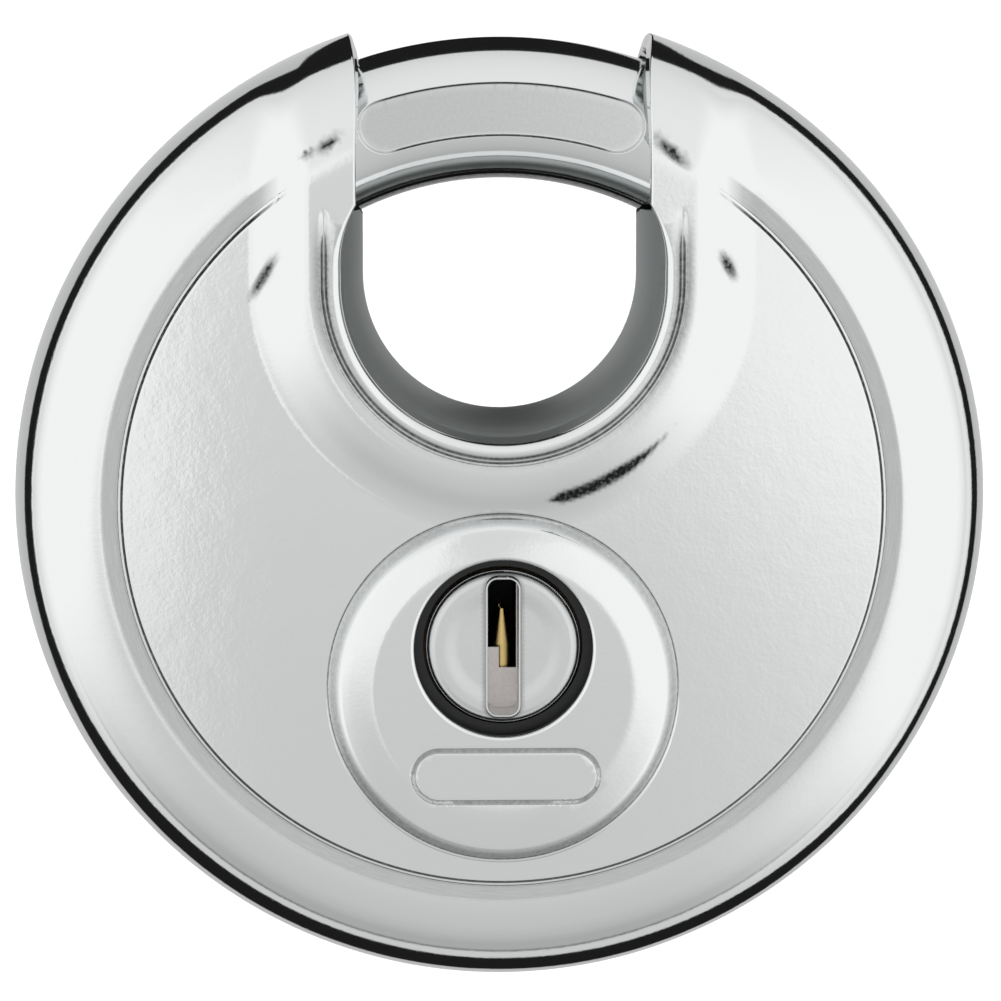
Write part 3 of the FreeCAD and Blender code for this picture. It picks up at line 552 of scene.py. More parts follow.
def shell_points(borders, has_boss):
    """Free points of a shell: the open ones, and rings and lines along each crease."""
    points = open_points()
    radii = [*(STEP_START + STEP_RUN), STEP_START - 0.2, BAND_START + 0.2, SHOULDER_START - CREASE,
             SHOULDER_START + CREASE]
    rings = aligned_rings(sorted(radii), 0.0, RING_COUNT)
    border = borders[0][0]
    lines = np.concatenate([throat_line(LIP_CREST + run) for run in LIP_RUN[1:]])
    lines = lines[inside(lines, border)]
    if has_boss:
        points, more = boss_points(points, borders[1][0])
        rings += more
        away = np.hypot(lines[:, 0], lines[:, 1] - BOSS_RISE)
        lines = lines[away > BOSS_RUN[-1] + MARGIN]
    points = np.concatenate([points] + rings)
    points = far_from(points[inside(points, border)], border, BORDER_GAP)
    return np.concatenate([points, far_from(lines, border, LINE_GAP)])


def stripe(value, middle, half, soft):
    """1 within half of the middle, falling to 0 over soft beyond that."""
    return np.clip((half + soft - np.abs(value - middle)) / soft, 0.0, 1.0)


def darkest(value, lines):
    """The darkness of a set of lines."""
    return np.max([dark * stripe(value, middle, half, soft) for middle, half, soft, dark in lines], axis=0)


def dark_patch(u, v, place):
    """A long dark patch painted on the steel: its middle, bearing in degrees, half length and half width."""
    x, rise, bearing, half_length, half_width = place
    turn = math.radians(bearing)
    along = (u - x) * math.cos(turn) + (v - rise) * math.sin(turn)
    across = (v - rise) * math.cos(turn) - (u - x) * math.sin(turn)
    return np.clip(1.5 - np.hypot(along / half_length, across / half_width), 0.0, 1.0)


def shell_painted_shade(u, v, has_boss):
    """Painted shade at each point: dark reflection lines at the step and the lip and, in front,
    the boss's shade, a dark reflection streak and a few dark patches.
    """
    bearing = np.degrees(np.abs(np.arctan2(u, v)))
    step = darkest(np.hypot(u, v), STEP_LINES) * smooth(bearing, 36.0, 41.0)
    away = throat_distance(u, v) - LIP_CREST
    beside = smooth(v, THROAT_RISE - 14.0, THROAT_RISE - 2.0)
    # Painted shade across the lip's outer half, stronger up beside the throat.
    shade = (0.3 + 0.25 * beside) * stripe(away, 0.75, 0.35, 0.3 + 0.6 * beside)
    lip = np.maximum(darkest(away, LIP_LINES), shade)
    painted_shade = np.maximum(step, lip * smooth(v, TIP_CURVE_END, TIP_CURVE_START))
    if has_boss:
        painted_shade = np.maximum(painted_shade, boss_painted_shade(u, v))
        painted_shade = np.maximum(painted_shade, dark_reflection_streak(u, v))
        for place in DARK_PATCHES:
            painted_shade = np.maximum(painted_shade, dark_patch(u, v, place))
    return painted_shade


def boss_painted_shade(u, v):
    """Painted shade: the dark line at the boss's foot, its shaded flank and the engraved outline's edges."""
    away = np.hypot(u, v - BOSS_RISE) - BOSS_LINE
    below = smooth(BOSS_RISE - v, -6.0, 9.0)
    shades = [(dark + more * below) * stripe(away, middle, half, soft)
              for middle, half, soft, dark, more in BOSS_SHADES]
    edge = np.abs(np.abs(pill_distance(u, v)) - PILL_HALF_WIDTH)
    return np.max(shades + [0.5 * stripe(edge, 0.0, 0.03, 0.05)], axis=0)


def dark_reflection_streak(u, v):
    """A painted dark reflection: one long streak on the collar's slope below the throat to the right."""
    bearing = np.degrees(np.arctan2(u, THROAT_RISE - v))
    half = STREAK_HALF * smooth(bearing, 10.0, 16.0) * smooth(bearing, 54.0, 30.0)
    within = half - np.abs(throat_distance(u, v) - STREAK_MIDDLE)
    return np.clip(within / 0.3, 0.0, 1.0) * (v < THROAT_RISE)


def shell(name, side, has_boss, material):
    borders = [outer_border()]
    if has_boss:
        borders.append(keyhole_border())
    free = shell_points(borders, has_boss)
    face, lining = shell_face(0.0, has_boss), shell_face(WALL, has_boss)
    points, normals, faces, flat = sheet_solid(face, lining, borders, free)
    if side < 0:
        faces = [corners[::-1] for corners in faces]
    painted_shade = shell_painted_shade(flat[:, 0], flat[:, 1], has_boss)
    return add_mesh(name, to_frame(points, side), turn_to_frame(normals, side), faces, material, painted_shade)


# ---------------------------------------------------------------- shackle

def bar_face(a, b):
    """Surface of the bar at length a along it and b round it, with the panel pressed into its front."""
    turn = a / RING_RADIUS
    around = b / BAR_RADIUS
    from_end = a - BAR_START * RING_RADIUS
    radius = BAR_RADIUS - np.maximum(END_CHAMFER - from_end, 0.0)
    out, depth = radius * np.sin(around), radius * np.cos(around)
    along = np.maximum(np.abs(a) - PANEL_HALF_LENGTH, 0.0)
    away = np.hypot(along, b - PANEL_SHIFT) - PANEL_HALF_WIDTH
    weight = smooth(away, *PANEL_EDGE)
    depth = depth + np.minimum(PANEL_FLOOR - depth, 0.0) * weight * (np.abs(around) < 1.0)
    seat = np.clip((turn - SEAT_START) * RING_RADIUS / 0.1, 0.0, 1.0)
    depth = depth + (np.maximum(depth, -SEAT_DEPTH) - depth) * seat
    reach = RING_RADIUS + out
    return columns(reach * np.sin(turn), reach * np.cos(turn), depth)


def round_ended(half_length, radius, spacing):
    """Points round a long outline with round ends, as many whatever the radius."""
    run = np.linspace(-half_length, half_length, int(2.0 * half_length / spacing))[1:-1]
    bend = np.radians(np.linspace(-90.0, 90.0, END_COUNT))
    right = columns(half_length + radius * np.cos(bend), radius * np.sin(bend))
    return np.concatenate([columns(run, -radius), right, columns(-run, radius), -right])


def panel_ring(away, spacing):
    ring = round_ended(PANEL_HALF_LENGTH, PANEL_HALF_WIDTH + away, spacing)
    return ring + np.array([0.0, PANEL_SHIFT])


def bar_painted_shade(a, b):
    """Painted shade: dark lines along the panel's two long edges, a greyer floor and the bar's shaded
    underside.
    """
    along = np.maximum(np.abs(a) - PANEL_HALF_LENGTH, 0.0)
    away = np.hypot(along, b - PANEL_SHIFT) - PANEL_HALF_WIDTH
    ends = smooth(np.abs(a), PANEL_HALF_LENGTH + 0.6, PANEL_HALF_LENGTH - 1.0)
    line = stripe(away, 0.5 * (PANEL_EDGE[0] + PANEL_EDGE[1]), 0.06, 0.06) * (0.25 + 0.75 * ends)
    painted_shade = np.maximum(line, 0.2 * smooth(away, PANEL_EDGE[1] + 0.05, PANEL_EDGE[1] - 0.1))
    under = -b / BAR_RADIUS
    shade = 0.2 * smooth(under, 0.76, 0.86) + 0.65 * smooth(under, 0.92, 1.2)
    return np.maximum(painted_shade, shade * smooth(under, 2.4, 1.9))


def bar_outline(along, around):
    """The border of the unrolled bar, anticlockwise."""
    return np.concatenate([columns(along[:-1], around[0]), columns(along[-1], around[:-1]),
                           columns(along[::-1][:-1], around[-1]), columns(along[0], around[::-1][:-1])])


def bar_points(start, end, around):
    """Free points of the unrolled bar, with lines at its chamfer and seat and outlines round its panel."""
    half = around[-1] - MARGIN
    points = lattice((start + MARGIN, -half), (end - MARGIN, half), SPACING)
    chamfer = start + END_CHAMFER
    seat = SEAT_START * RING_RADIUS
    points = points[(np.abs(points[:, 0] - chamfer) > 0.2) & (np.abs(points[:, 0] - seat) > 0.3)]
    creases = (chamfer - 0.03, chamfer + 0.03, seat - 0.02, seat + 0.12)
    lines = [columns(place, around[1:-1]) for place in creases]
    limits = np.linspace(PANEL_EDGE[0] + 0.03, PANEL_EDGE[1] - 0.03, 9)
    outline = np.concatenate([panel_ring(away, FINE_SPACING) for away in limits])
    return np.concatenate([far_from(points, outline, BORDER_GAP), outline] + lines)


def seam(count, run, girth):
    """New numbers for the points, in which the two long sides of the unrolled bar are one."""
    merge = np.arange(count)
    top_start = run + girth
    merge[top_start + 1:top_start + run] = np.arange(run - 1, 0, -1)
    merge[top_start] = run
    merge[top_start + run] = 0
    return merge


def without_unused(points, normals, painted_shade, faces):
    used = sorted({index for face in faces for index in face})
    renumber = np.full(len(points), -1)
    renumber[used] = np.arange(len(used))
    return points[used], normals[used], painted_shade[used], [[renumber[index] for index in face] for face in faces]


def shackle(name, material):
    start, end = BAR_START * RING_RADIUS, BAR_END * RING_RADIUS
    half = math.pi * BAR_RADIUS
    along = np.linspace(start, end, int((end - start) / SPACING))
    around = np.linspace(-half, half, 2 * int(half / SPACING) + 1)
    run, girth = len(along) - 1, len(around) - 1
    border = bar_outline(along, around)
    flat, triangles = triangulate([border], bar_points(start, end, around))
    merge = seam(len(flat), run, girth)
    faces = [list(face) for face in merge[triangles]]
    place = bar_face(flat[:, 0], flat[:, 1])
    points, normals = [place], [normals_of(bar_face, flat)]
    total = len(flat)
    for turn, first, sign in ((BAR_END, run, 1.0), (BAR_START, 2 * run + girth, -1.0)):
        look = np.array([sign * math.cos(turn), -sign * math.sin(turn), 0.0])
        ring = place[merge[(first + np.arange(girth)) % len(border)]]
        points += [ring, ring.mean(axis=0, keepdims=True)]
        normals.append(np.tile(look, (girth + 1, 1)))
        centre = total + girth
        for index in range(girth):
            faces.append([centre, total + (index + 1) % girth, total + index])
        total += girth + 1
    painted_shade = np.concatenate([bar_painted_shade(flat[:, 0], flat[:, 1]), np.zeros(total - len(flat))])
    points, normals = np.concatenate(points), np.concatenate(normals)
    points, normals, painted_shade, faces = without_unused(points, normals, painted_shade, faces)
    return add_mesh(name, to_frame(points, 1.0), turn_to_frame(normals, 1.0), faces, material, painted_shade)


# ---------------------------------------------------------------- pin springs

def spring(number, material):
    """A wound spring with closed end turns, in the CAD spring's place and fixed to the lock body."""
    node = "pin_spring_%d" % number
    low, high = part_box(node)
    place = Vector(((low[0] + high[0]) / 2, (low[1] + high[1]) / 2, low[2] + SPRING_WIRE * MM))
    height = (high[2] - low[2]) / MM - 2.0 * SPRING_WIRE - SPRING_GAP
    turns = np.linspace(0.0, SPRING_TURNS, int(SPRING_TURNS * SPRING_STEPS) + 1)
    closed = 2.05 * SPRING_WIRE
    rise = np.interp(turns, [0.0, 1.0, SPRING_TURNS - 1.0, SPRING_TURNS],
                     [0.0, closed, height - closed, height])
    angle = 2.0 * math.pi * turns
    line = columns(SPRING_RADIUS * np.cos(angle), SPRING_RADIUS * np.sin(angle), rise)
    outward = columns(np.cos(angle), np.sin(angle), 0.0)
    across = np.cross(unit(np.gradient(line, axis=0)), outward)
    section = np.linspace(0.0, 2.0 * math.pi, SPRING_SIDES, endpoint=False)
    looks = (np.cos(section)[None, :, None] * outward[:, None, :]
             + np.sin(section)[None, :, None] * across[:, None, :])
    points = (line[:, None, :] + SPRING_WIRE * looks).reshape(-1, 3) * MM + np.array(place)
    faces = [list(range(SPRING_SIDES))[::-1]]
    for row in range(len(line) - 1):
        first, second = row * SPRING_SIDES, (row + 1) * SPRING_SIDES
        for index in range(SPRING_SIDES):
            after = (index + 1) % SPRING_SIDES
            faces.append([first + index, first + after, second + after, second + index])
    faces.append([len(points) - SPRING_SIDES + index for index in range(SPRING_SIDES)])
    piece = add_mesh(node + "_looks", points, looks.reshape(-1, 3), faces, material, np.zeros(0))
    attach(piece, "lock_body")
    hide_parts(node)
    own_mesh(piece)


# ---------------------------------------------------------------- rotor

def slot_distance(u, v):
    """Distance outside the key slot's outline, negative inside it."""
    x = np.abs(u) - (SLOT_HALF_WIDTH - SLOT_CORNER)
    y = np.abs(v) - (SLOT_HALF_HEIGHT - SLOT_CORNER)
    outside = np.hypot(np.maximum(x, 0.0), np.maximum(y, 0.0))
    return outside + np.minimum(np.maximum(x, y), 0.0) - SLOT_CORNER


def slot_ring(away, spacing):
    """Anticlockwise points at a distance outside the slot's outline."""
    radius = SLOT_CORNER + away
    x, y = SLOT_HALF_WIDTH - SLOT_CORNER, SLOT_HALF_HEIGHT - SLOT_CORNER
    steps = max(3, int(radius * math.pi / 2 / spacing * 2))
    corners = [(x, -y, -90.0), (x, y, 0.0), (-x, y, 90.0), (-x, -y, 180.0)]
    points = []
    for index, (cx, cy, first) in enumerate(corners):
        angle = np.radians(np.linspace(first, first + 90.0, steps + 1))
        arc = columns(cx + radius * np.cos(angle), cy + radius * np.sin(angle))
        points.append(arc)
        nx, ny, turn = corners[(index + 1) % 4]
        turn = math.radians(turn)
        target = np.array([nx + radius * math.cos(turn), ny + radius * math.sin(turn)])
        count = int(np.linalg.norm(target - arc[-1]) / spacing)
        share = np.arange(1, count)[:, None] / count
        points.append(arc[-1] + (target - arc[-1]) * share)
    return np.concatenate(points)


def rotor_face(u, v):
    away = np.hypot(u, v)
    edge = np.clip(away - (ROTOR_RADIUS - ROTOR_ROUND), 0.0, ROTOR_ROUND * ROTOR_ROUND_END)
    depth = ROTOR_FRONT - ROTOR_ROUND + np.sqrt(ROTOR_ROUND ** 2 - edge ** 2)
    depth = depth - DISH_DEPTH * smooth(away, DISH_EDGE, DISH_FLOOR)
    rim = smooth(slot_distance(u, v), SLOT_RIM + 0.12, SLOT_RIM - 0.06)
    depth = depth + (ROTOR_FRONT + SLOT_RIM_HEIGHT - depth) * rim
    return columns(u, v + PLUG_RISE, depth)


def rotor_back(u, v):
    return columns(u, v + PLUG_RISE, ROTOR_BACK)


def rotor_borders():
    """The rotor's outer edge and the key slot."""
    outer = circle(ROTOR_RADIUS - ROTOR_EDGE, (0.0, 0.0), ROTOR_SPACING)
    height = ROTOR_FRONT - ROTOR_ROUND * (1.0 - math.sqrt(1.0 - ROTOR_ROUND_END ** 2)) - ROTOR_BACK
    hole = slot_ring(SLOT_ROUND, ROTOR_SPACING)[::-1]
    slot_height = ROTOR_FRONT + SLOT_RIM_HEIGHT - ROTOR_BACK
    return [even_border(outer, unit(outer), ROTOR_EDGE, height - 0.05),
            even_border(hole, -unit(normal_to_slot(hole)), SLOT_ROUND, slot_height - 2.0 * SLOT_ROUND)]


def rotor_points():
    """Free points of the rotor: an open lattice, and rings on its rounded edge and on the slot's rim."""
    free = lattice((-ROTOR_RADIUS, -ROTOR_RADIUS), (ROTOR_RADIUS, ROTOR_RADIUS), ROTOR_LATTICE)
    flat_radius = ROTOR_RADIUS - ROTOR_ROUND
    free = free[np.hypot(free[:, 0], free[:, 1]) < flat_radius - 0.1]
    free = free[slot_distance(free[:, 0], free[:, 1]) > SLOT_RIM + 0.2]
    turns = np.linspace(0.0, math.asin(ROTOR_ROUND_END), 8)
    made = [circle(flat_radius + ROTOR_ROUND * math.sin(turn), (0.0, 0.0), ROTOR_SPACING) for turn in turns]
    made += [slot_ring(SLOT_RIM + away, ROTOR_SPACING) for away in SLOT_RIM_STEPS]
    made = np.concatenate(made)
    made = made[np.hypot(made[:, 0], made[:, 1]) < ROTOR_RADIUS - 0.03]
    return np.concatenate([free, made])


def rotor(name, material):
    points, normals, faces, flat = sheet_solid(rotor_face, rotor_back, rotor_borders(), rotor_points())
    # Painted shade in a ring just outside the slot's raised rim.
    painted_shade = 0.35 * stripe(slot_distance(flat[:, 0], flat[:, 1]), SLOT_RIM + 0.12, 0.06, 0.2)
    return add_mesh(name, to_frame(points, 1.0), turn_to_frame(normals, 1.0), faces, material, painted_shade)


def normal_to_slot(points):
    u, v = points[:, 0], points[:, 1]
    across = slot_distance(u + STEP, v) - slot_distance(u - STEP, v)
    upward = slot_distance(u, v + STEP) - slot_distance(u, v - STEP)
    return columns(across, upward)


# ---------------------------------------------------------------- materials

COOL = (0.985, 1.0, 1.0)
WHITE = (1.0, 1.0, 1.0)
# How far behind the plug's front the painted keyway shade starts and turns fully black, in millimetres.
KEYWAY_SHADE = (0.05, 0.7)
BUMP_HEIGHT = 0.02
PEEL_HEIGHT = 0.012
HALF_TURN = 180.0


class Shader:
    """The nodes of one material or world."""

    def __init__(self, tree):
        self.tree = tree

    def add(self, kind, inputs=None, **settings):
        node = self.tree.nodes.new(kind)
        for key, value in settings.items():
            setattr(node, key, value)
        for key, value in (inputs or {}).items():
            self.put(node.inputs[key], value)
        return node

    def put(self, socket, value):
        if isinstance(value, bpy.types.NodeSocket):
            self.tree.links.new(value, socket)
        else:
            socket.default_value = value

    def math(self, operation, *values, clamp=False):
        node = self.tree.nodes.new("ShaderNodeMath")
        node.operation = operation
        node.use_clamp = clamp
        for socket, value in zip(node.inputs, values):
            self.put(socket, value)
        return node.outputs[0]

    def times(self, value, other):
        return self.math("MULTIPLY", value, other)

    def axes(self, vector):
        outputs = self.add("ShaderNodeSeparateXYZ", {"Vector": vector}).outputs
        return outputs["X"], outputs["Y"], outputs["Z"]

    def length(self, x, z):
        squares = self.math("ADD", self.times(x, x), self.times(z, z))
        return self.math("SQRT", squares)

    def share(self, value, low, high, interpolation="LINEAR"):
        """0 where the value is low, 1 where it is high."""
        inputs = {"Value": value, "From Min": low, "From Max": high}
        return self.add("ShaderNodeMapRange", inputs, interpolation_type=interpolation).outputs[0]

    def ramp(self, factor, stops):
        """A grey ramp. A stop is an angle in degrees and its tone, and the factor is in half turns."""
        node = self.add("ShaderNodeValToRGB", {"Fac": factor})
        band = node.color_ramp
        while len(band.elements) < len(stops):
            band.elements.new(0.5)
        for element, (degrees, tone) in zip(band.elements, stops):
            element.position = degrees / HALF_TURN
            element.color = rgb(tone)
        return node.outputs["Color"]

    def mix(self, factor, low, high):
        """A number between two others."""
        node = self.add("ShaderNodeMix", data_type="FLOAT")
        self.put(node.inputs[0], factor)
        self.put(node.inputs[2], low)
        self.put(node.inputs[3], high)
        return node.outputs[0]

    def blend(self, factor, low, high):
        """A colour between two others."""
        node = self.add("ShaderNodeMix", data_type="RGBA")
        self.put(node.inputs[0], factor)
        self.put(node.inputs[6], low)
        self.put(node.inputs[7], high)
        return node.outputs[2]

    def noise(self, vector, scale, detail=2.0, roughness=0.5):
        node = self.add("ShaderNodeTexNoise", {"Scale": scale, "Detail": detail, "Roughness": roughness})
        self.put(node.inputs["Vector"], vector)
        return node.outputs["Fac"]

    def place(self):
        return self.add("ShaderNodeTexCoord").outputs["Object"]

    def painted_shade(self, grain):
        """The painted shade stored on the mesh, with its edge broken up by the grain."""
        painted_shade = self.add("ShaderNodeAttribute", attribute_name="painted_shade").outputs["Fac"]
        uneven = self.times(self.math("SUBTRACT", grain, 0.5), self.times(painted_shade, 0.9))
        return self.math("ADD", painted_shade, uneven, clamp=True)

    def bump(self, height, strength, distance, **more):
        inputs = {"Strength": strength, "Distance": distance, "Height": height, **more}
        return self.add("ShaderNodeBump", inputs).outputs["Normal"]


def new_material(name, metallic=1.0):
    material = bpy.data.materials.new(name)
    material.use_nodes = True
    shader = Shader(material.node_tree)
    principled = material.node_tree.nodes["Principled BSDF"]
    principled.inputs["Metallic"].default_value = metallic
    return material, shader, principled


def rgb(tone, tint=WHITE):
    return (tone * tint[0], tone * tint[1], tone * tint[2], 1.0)


def turned_band(shader, x, rise, radius):
    """A mask of the matt turned band, which ends at the collar on both sides of the throat."""
    low, high = (BAND_START - 0.1) * MM, (SHOULDER_START + 0.1) * MM
    inner = shader.share(radius, low, low + 0.2 * MM)
    outer = shader.share(radius, high, high - 0.25 * MM)
    beside = shader.share(shader.math("ABSOLUTE", x), BAND_END * MM, (BAND_END + 1.6) * MM)
    below = shader.math("LESS_THAN", rise, THROAT_RISE * MM)
    return shader.times(shader.times(inner, outer), shader.math("MAXIMUM", beside, below))


def polished_shell(name):
    """Polished pressed steel, with orange peel, fine wipe marks, the matt turned band and painted shade."""
    material, shader, principled = new_material(name)
    place = shader.place()
    x, _, z = shader.axes(place)
    rise = shader.math("ADD", z, RING_RADIUS * MM)
    radius = shader.length(x, rise)
    band = turned_band(shader, x, rise, radius)
    lines = {"X": shader.times(radius, 9000.0), "Y": shader.times(shader.math("ARCTAN2", x, rise), 14.0)}
    brushed = shader.noise(shader.add("ShaderNodeCombineXYZ", lines).outputs[0], 1.0, 3.0, 0.6)
    grain = shader.noise(place, 2600.0, 3.0, 0.6)
    peel = shader.noise(place, 420.0, 2.0, 0.5)
    wear = shader.noise(place, 70.0, 4.0, 0.6)
    shine = shader.mix(wear, 0.045, 0.085)
    matt = shader.mix(grain, 0.3, 0.5)
    shader.put(principled.inputs["Roughness"], shader.mix(band, shine, matt))
    tone = shader.blend(brushed, rgb(0.5, COOL), rgb(0.74, COOL))
    steel = shader.blend(band, rgb(0.93, COOL), tone)
    # The mesh's painted shade darkens the steel nearly to black.
    shader.put(principled.inputs["Base Color"], shader.blend(shader.painted_shade(grain), steel, rgb(0.025, COOL)))
    height = shader.math("ADD", shader.times(grain, 0.35), shader.times(peel, 0.65))
    uneven = shader.bump(height, 1.0, PEEL_HEIGHT * MM)
    rough = shader.bump(grain, shader.times(band, 0.5), BUMP_HEIGHT * MM, Normal=uneven)
    shader.put(principled.inputs["Normal"], rough)
    return material


def metal(name, tone, tint, roughness, spread, grain_scale, bump, wear_tone=0.85, along=1.0, front=None):
    """Plain metal with grain, cloudy wear and a roughness that varies with both. With a small value of along
    the grain is drawn out into lines round the Y axis, as a tool leaves them. With a value of front the
    metal is painted black as shade further back than that, deep in the keyway."""
    material, shader, principled = new_material(name)
    stretch = (along, 1.0, along)
    place = shader.add("ShaderNodeMapping", {"Vector": shader.place(), "Scale": stretch}).outputs[0]
    grain = shader.noise(place, grain_scale, 4.0, 0.6)
    wear = shader.noise(place, 90.0, 4.0, 0.6)
    mixed = shader.math("ADD", shader.times(grain, 0.5), shader.times(wear, 0.5))
    shader.put(principled.inputs["Roughness"], shader.mix(mixed, roughness - spread, roughness + spread))
    steel = shader.blend(mixed, rgb(tone * wear_tone, tint), rgb(tone, tint))
    painted_shade = shader.painted_shade(grain)
    # Painted shade: black further back than the front, where the keyway lies in shadow.
    if front is not None:
        _, depth, _ = shader.axes(place)
        start, end = (front + behind * MM for behind in KEYWAY_SHADE)
        painted_shade = shader.math("MAXIMUM", painted_shade, shader.share(depth, start, end))
    shader.put(principled.inputs["Base Color"], shader.blend(painted_shade, steel, rgb(0.02, tint)))
    shader.put(principled.inputs["Normal"], shader.bump(grain, bump, BUMP_HEIGHT * MM))
    return material


# ---------------------------------------------------------------- studio

SIDE_TONES = ((0, 0.72), (2, 0.76), (5, 0.89), (10, 0.96), (85, 0.96), (93, 0.88), (101, 0.74), (106, 0.84),
              (127, 0.5), (180, 0.62))
LOW_TONES = ((0, 0.72), (5, 0.68), (10, 0.62), (31, 0.58), (48, 0.56), (63, 0.5), (74, 0.42), (84, 0.42),
             (87, 0.16), (90, 0.62), (97, 0.62), (138, 0.5), (180, 0.55))
HIGH_TONES = ((0, 0.72), (8, 0.72), (14, 0.8), (40, 0.84), (65, 0.82), (85, 0.78), (111, 0.68), (134, 0.5),
              (180, 0.62))
DARK_TONE = 0.012
DARK_SOFTNESS = 2.0
LEFT_TONE = 0.93


def turned_angle(shader, degrees, leans):
    """An angle in half turns, which grows by so many degrees with each leaning of the direction."""
    angle = degrees / HALF_TURN
    for lean, more in leans:
        angle = shader.math("ADD", angle, shader.times(lean, more / HALF_TURN))
    return angle


def dark_ring(shader, away, across, downward, upward, topmost):
    """The dark gap behind the object as a mask. It starts and ends further back in some directions."""
    start = turned_angle(shader, 109.0, ((across, 4.0), (downward, -8.0), (upward, -2.0)))
    end = turned_angle(shader, 128.0, ((across, 3.0), (downward, 10.0), (upward, 4.0), (topmost, 45.0)))
    soft = DARK_SOFTNESS / HALF_TURN
    behind = shader.math("DIVIDE", shader.math("SUBTRACT", away, start), soft, clamp=True)
    before = shader.math("DIVIDE", shader.math("SUBTRACT", end, away), soft, clamp=True)
    return shader.times(behind, before)


def surroundings(shader, direction):
    """Tones by the angle from the front, with a ramp each for sideways, downward and upward directions."""
    x, y, z = shader.axes(direction)
    away = shader.math("DIVIDE", shader.math("ARCCOSINE", shader.times(y, -1.0)), math.pi)
    flat = shader.math("MAXIMUM", shader.length(x, z), 0.001)
    up, across = shader.math("DIVIDE", z, flat), shader.math("DIVIDE", x, flat)
    down = shader.times(shader.math("ADD", up, shader.times(across, 0.12)), -1.0)
    downward = shader.share(down, 0.45, 0.95, "SMOOTHSTEP")
    upward = shader.share(up, 0.5, 0.95, "SMOOTHSTEP")
    topmost = shader.share(up, 0.87, 0.95, "SMOOTHSTEP")
    side, low, high = (shader.ramp(away, tones) for tones in (SIDE_TONES, LOW_TONES, HIGH_TONES))
    colour = shader.blend(upward, shader.blend(downward, side, low), high)
    left = shader.share(x, -0.062, -0.078, "SMOOTHSTEP")
    near = shader.share(away, 16.0 / HALF_TURN, 8.0 / HALF_TURN)
    colour = shader.blend(shader.times(left, near), colour, rgb(LEFT_TONE))
    return shader.blend(dark_ring(shader, away, across, downward, upward, topmost), colour, rgb(DARK_TONE))


def studio_world():
    """Soft light all round with a dark gap behind the object, and plain white for the camera."""
    world = bpy.data.worlds.new("studio")
    bpy.context.scene.world = world
    world.use_nodes = True
    world.node_tree.nodes.clear()
    shader = Shader(world.node_tree)
    direction = shader.add("ShaderNodeTexCoord").outputs["Generated"]
    seen = shader.add("ShaderNodeLightPath").outputs["Is Camera Ray"]
    colour = shader.blend(seen, surroundings(shader, direction), rgb(1.0))
    background = shader.add("ShaderNodeBackground", {"Color": colour, "Strength": 1.0})
    output = shader.add("ShaderNodeOutputWorld")
    shader.put(output.inputs["Surface"], background.outputs[0])


def studio_floor():
    """A wide pale floor, low enough for the object to hang above it."""
    half = 40.0
    level = -0.22
    mesh = bpy.data.meshes.new("floor")
    corners = [(-half, -half, level), (half, -half, level), (half, half, level), (-half, half, level)]
    mesh.from_pydata(corners, [], [(0, 1, 2, 3)])
    floor = bpy.data.objects.new("floor", mesh)
    bpy.context.scene.collection.objects.link(floor)
    material, shader, principled = new_material("floor_paint", 0.0)
    grain = shader.noise(shader.place(), 40.0, 3.0, 0.5)
    shader.put(principled.inputs["Base Color"], shader.blend(grain, rgb(0.93), rgb(0.96)))
    principled.inputs["Roughness"].default_value = 0.9
    mesh.materials.append(material)
    floor.visible_glossy = False


def soft_light(name, place, aim, size, power):
    light = bpy.data.lights.new(name, "AREA")
    light.size = size
    light.energy = power
    lamp = bpy.data.objects.new(name, light)
    lamp.location = place
    lamp.rotation_euler = (Vector(aim) - Vector(place)).to_track_quat("-Z", "Y").to_euler()
    lamp.visible_glossy = False
    lamp.visible_camera = False
    bpy.context.scene.collection.objects.link(lamp)


def soft_sun(strength):
    """Even light from above, for the floor."""
    light = bpy.data.lights.new("soft_sun", "SUN")
    light.energy = strength
    light.angle = math.radians(60.0)
    lamp = bpy.data.objects.new("soft_sun", light)
    lamp.visible_glossy = False
    bpy.context.scene.collection.objects.link(lamp)


def camera():
    data = bpy.data.cameras.new("camera")
    data.lens = 173.0
    data.sensor_width = 36.0
    distance, azimuth, elevation = 0.45, math.radians(-1.5), math.radians(7.3)
    aim = Vector((0.08, 0.0, -(RING_RADIUS + 0.72))) * MM
    back = Vector((math.sin(azimuth) * math.cos(elevation), -math.cos(azimuth) * math.cos(elevation),
                   math.sin(elevation)))
    eye = bpy.data.objects.new("camera", data)
    eye.location = aim + back * distance
    eye.rotation_euler = (-back).to_track_quat("-Z", "Y").to_euler()
    bpy.context.scene.collection.objects.link(eye)
    bpy.context.scene.camera = eye


# ---------------------------------------------------------------- the object

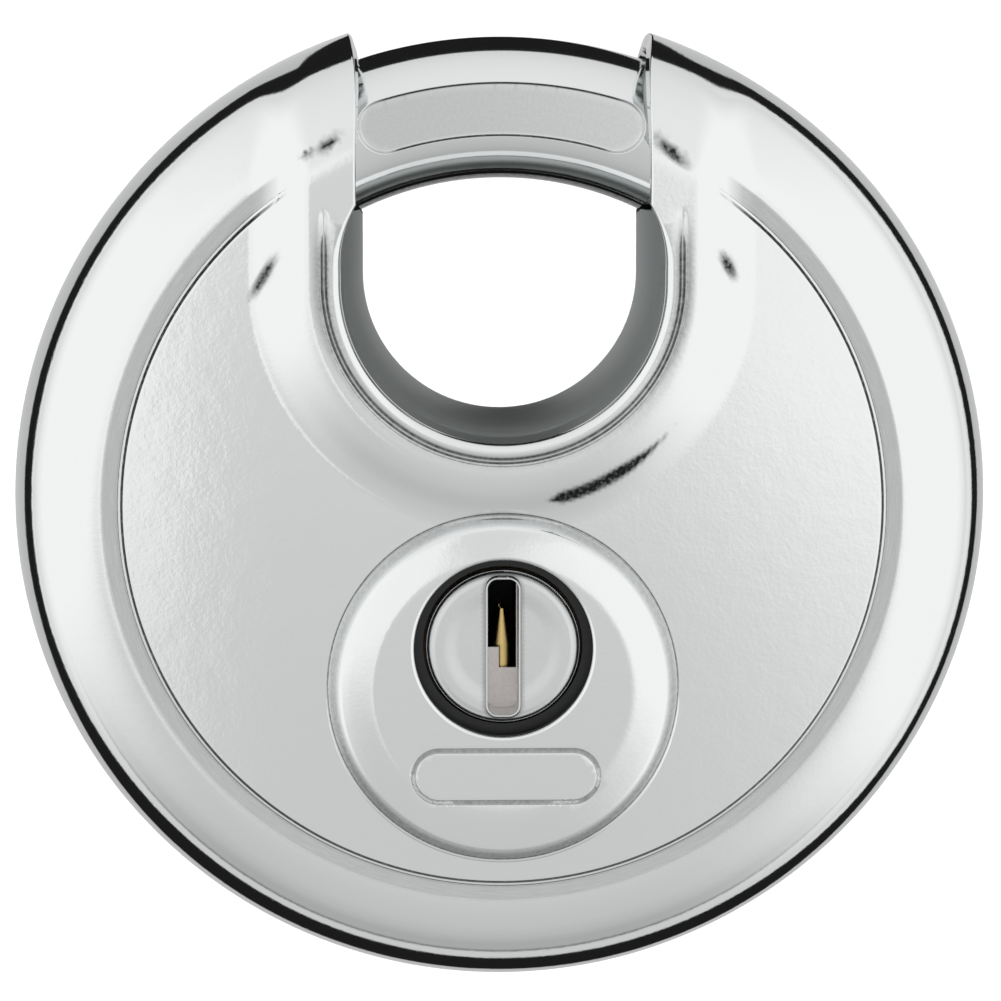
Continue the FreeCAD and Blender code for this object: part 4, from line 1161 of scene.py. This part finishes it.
shell_steel = polished_shell("polished_shell_steel")
bar_steel = metal("polished_bar_steel", 0.93, COOL, 0.08, 0.03, 3200.0, 0.06, 0.97)
liner_steel = metal("hardened_liner_steel", 0.58, (0.95, 1.0, 0.99), 0.5, 0.06, 5000.0, 1.0, 0.75, 0.03)
satin = metal("satin_rotor_steel", 0.82, COOL, 0.3, 0.05, 3000.0, 0.25)
brass = metal("pin_brass", 0.9, (0.92, 0.68, 0.28), 0.22, 0.06, 2500.0, 0.2)
plug_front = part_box("plug")[0][1]
nickel = metal("nickel_silver_plug", 0.95, (1.0, 0.93, 0.9), 0.4, 0.08, 3500.0, 0.6, 0.45, front=plug_front)
zinc = metal("cast_zinc", 0.5, (0.96, 0.98, 1.0), 0.5, 0.1, 1200.0, 0.4)
plain = metal("plain_steel", 0.6, COOL, 0.3, 0.08, 1600.0, 0.25)
wire = metal("spring_wire_steel", 0.6, COOL, 0.25, 0.06, 4000.0, 0.1)
# Hardened plate steel, darkened to near black as painted shade for the deep gap round the rotor.
dark = metal("hardened_plate_steel_painted_shade", 0.05, COOL, 0.45, 0.08, 1500.0, 0.3)
# Brass darkened as painted shade, for the barrel's face deep in shadow round the rotor.
brass_painted_shade = metal("brass_painted_shade", 0.12, (1.0, 0.85, 0.6), 0.5, 0.08, 1500.0, 0.3)

CAD_FINISH = {
    "throat_liner": liner_steel, "anti_drill_plate": dark, "lock_core": zinc, "core_cover": plain,
    "cover_screws": plain, "barrel": brass_painted_shade, "chamber_strip": brass, "barrel_screw": plain,
    "plug": nickel, "plug_clip": wire, "crank": plain, "crank_pin": dark, "tail_plate": plain,
    "tail_rivets": plain,
}
for number in range(1, 6):
    CAD_FINISH["key_pin_%d" % number] = brass
    CAD_FINISH["driver_pin_%d" % number] = brass
    spring(number, wire)
for node, finish in CAD_FINISH.items():
    for index in range(len(NODES[node].material_slots)):
        NODES[node].material_slots[index].material = finish

for piece, body, node, slot in (
    (shell("front_shell_looks", 1.0, True, shell_steel), "lock_body", "front_shell", "polished_steel"),
    (shell("rear_shell_looks", -1.0, False, shell_steel), "lock_body", "rear_shell", "polished_steel"),
    (shackle("shackle_looks", bar_steel), "shackle_set", "shackle", "shackle_steel"),
    (rotor("face_rotor_looks", satin), "plug_set", "face_rotor", "satin_steel"),
):
    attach(piece, body)
    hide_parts(node)

studio_world()
studio_floor()
soft_light("key_light", (-0.25, -0.5, 0.45), (0.0, 0.0, -RING_RADIUS * MM), size=0.4, power=3.0)
soft_sun(2.0)
camera()
bpy.context.scene.view_settings.view_transform = "Standard"
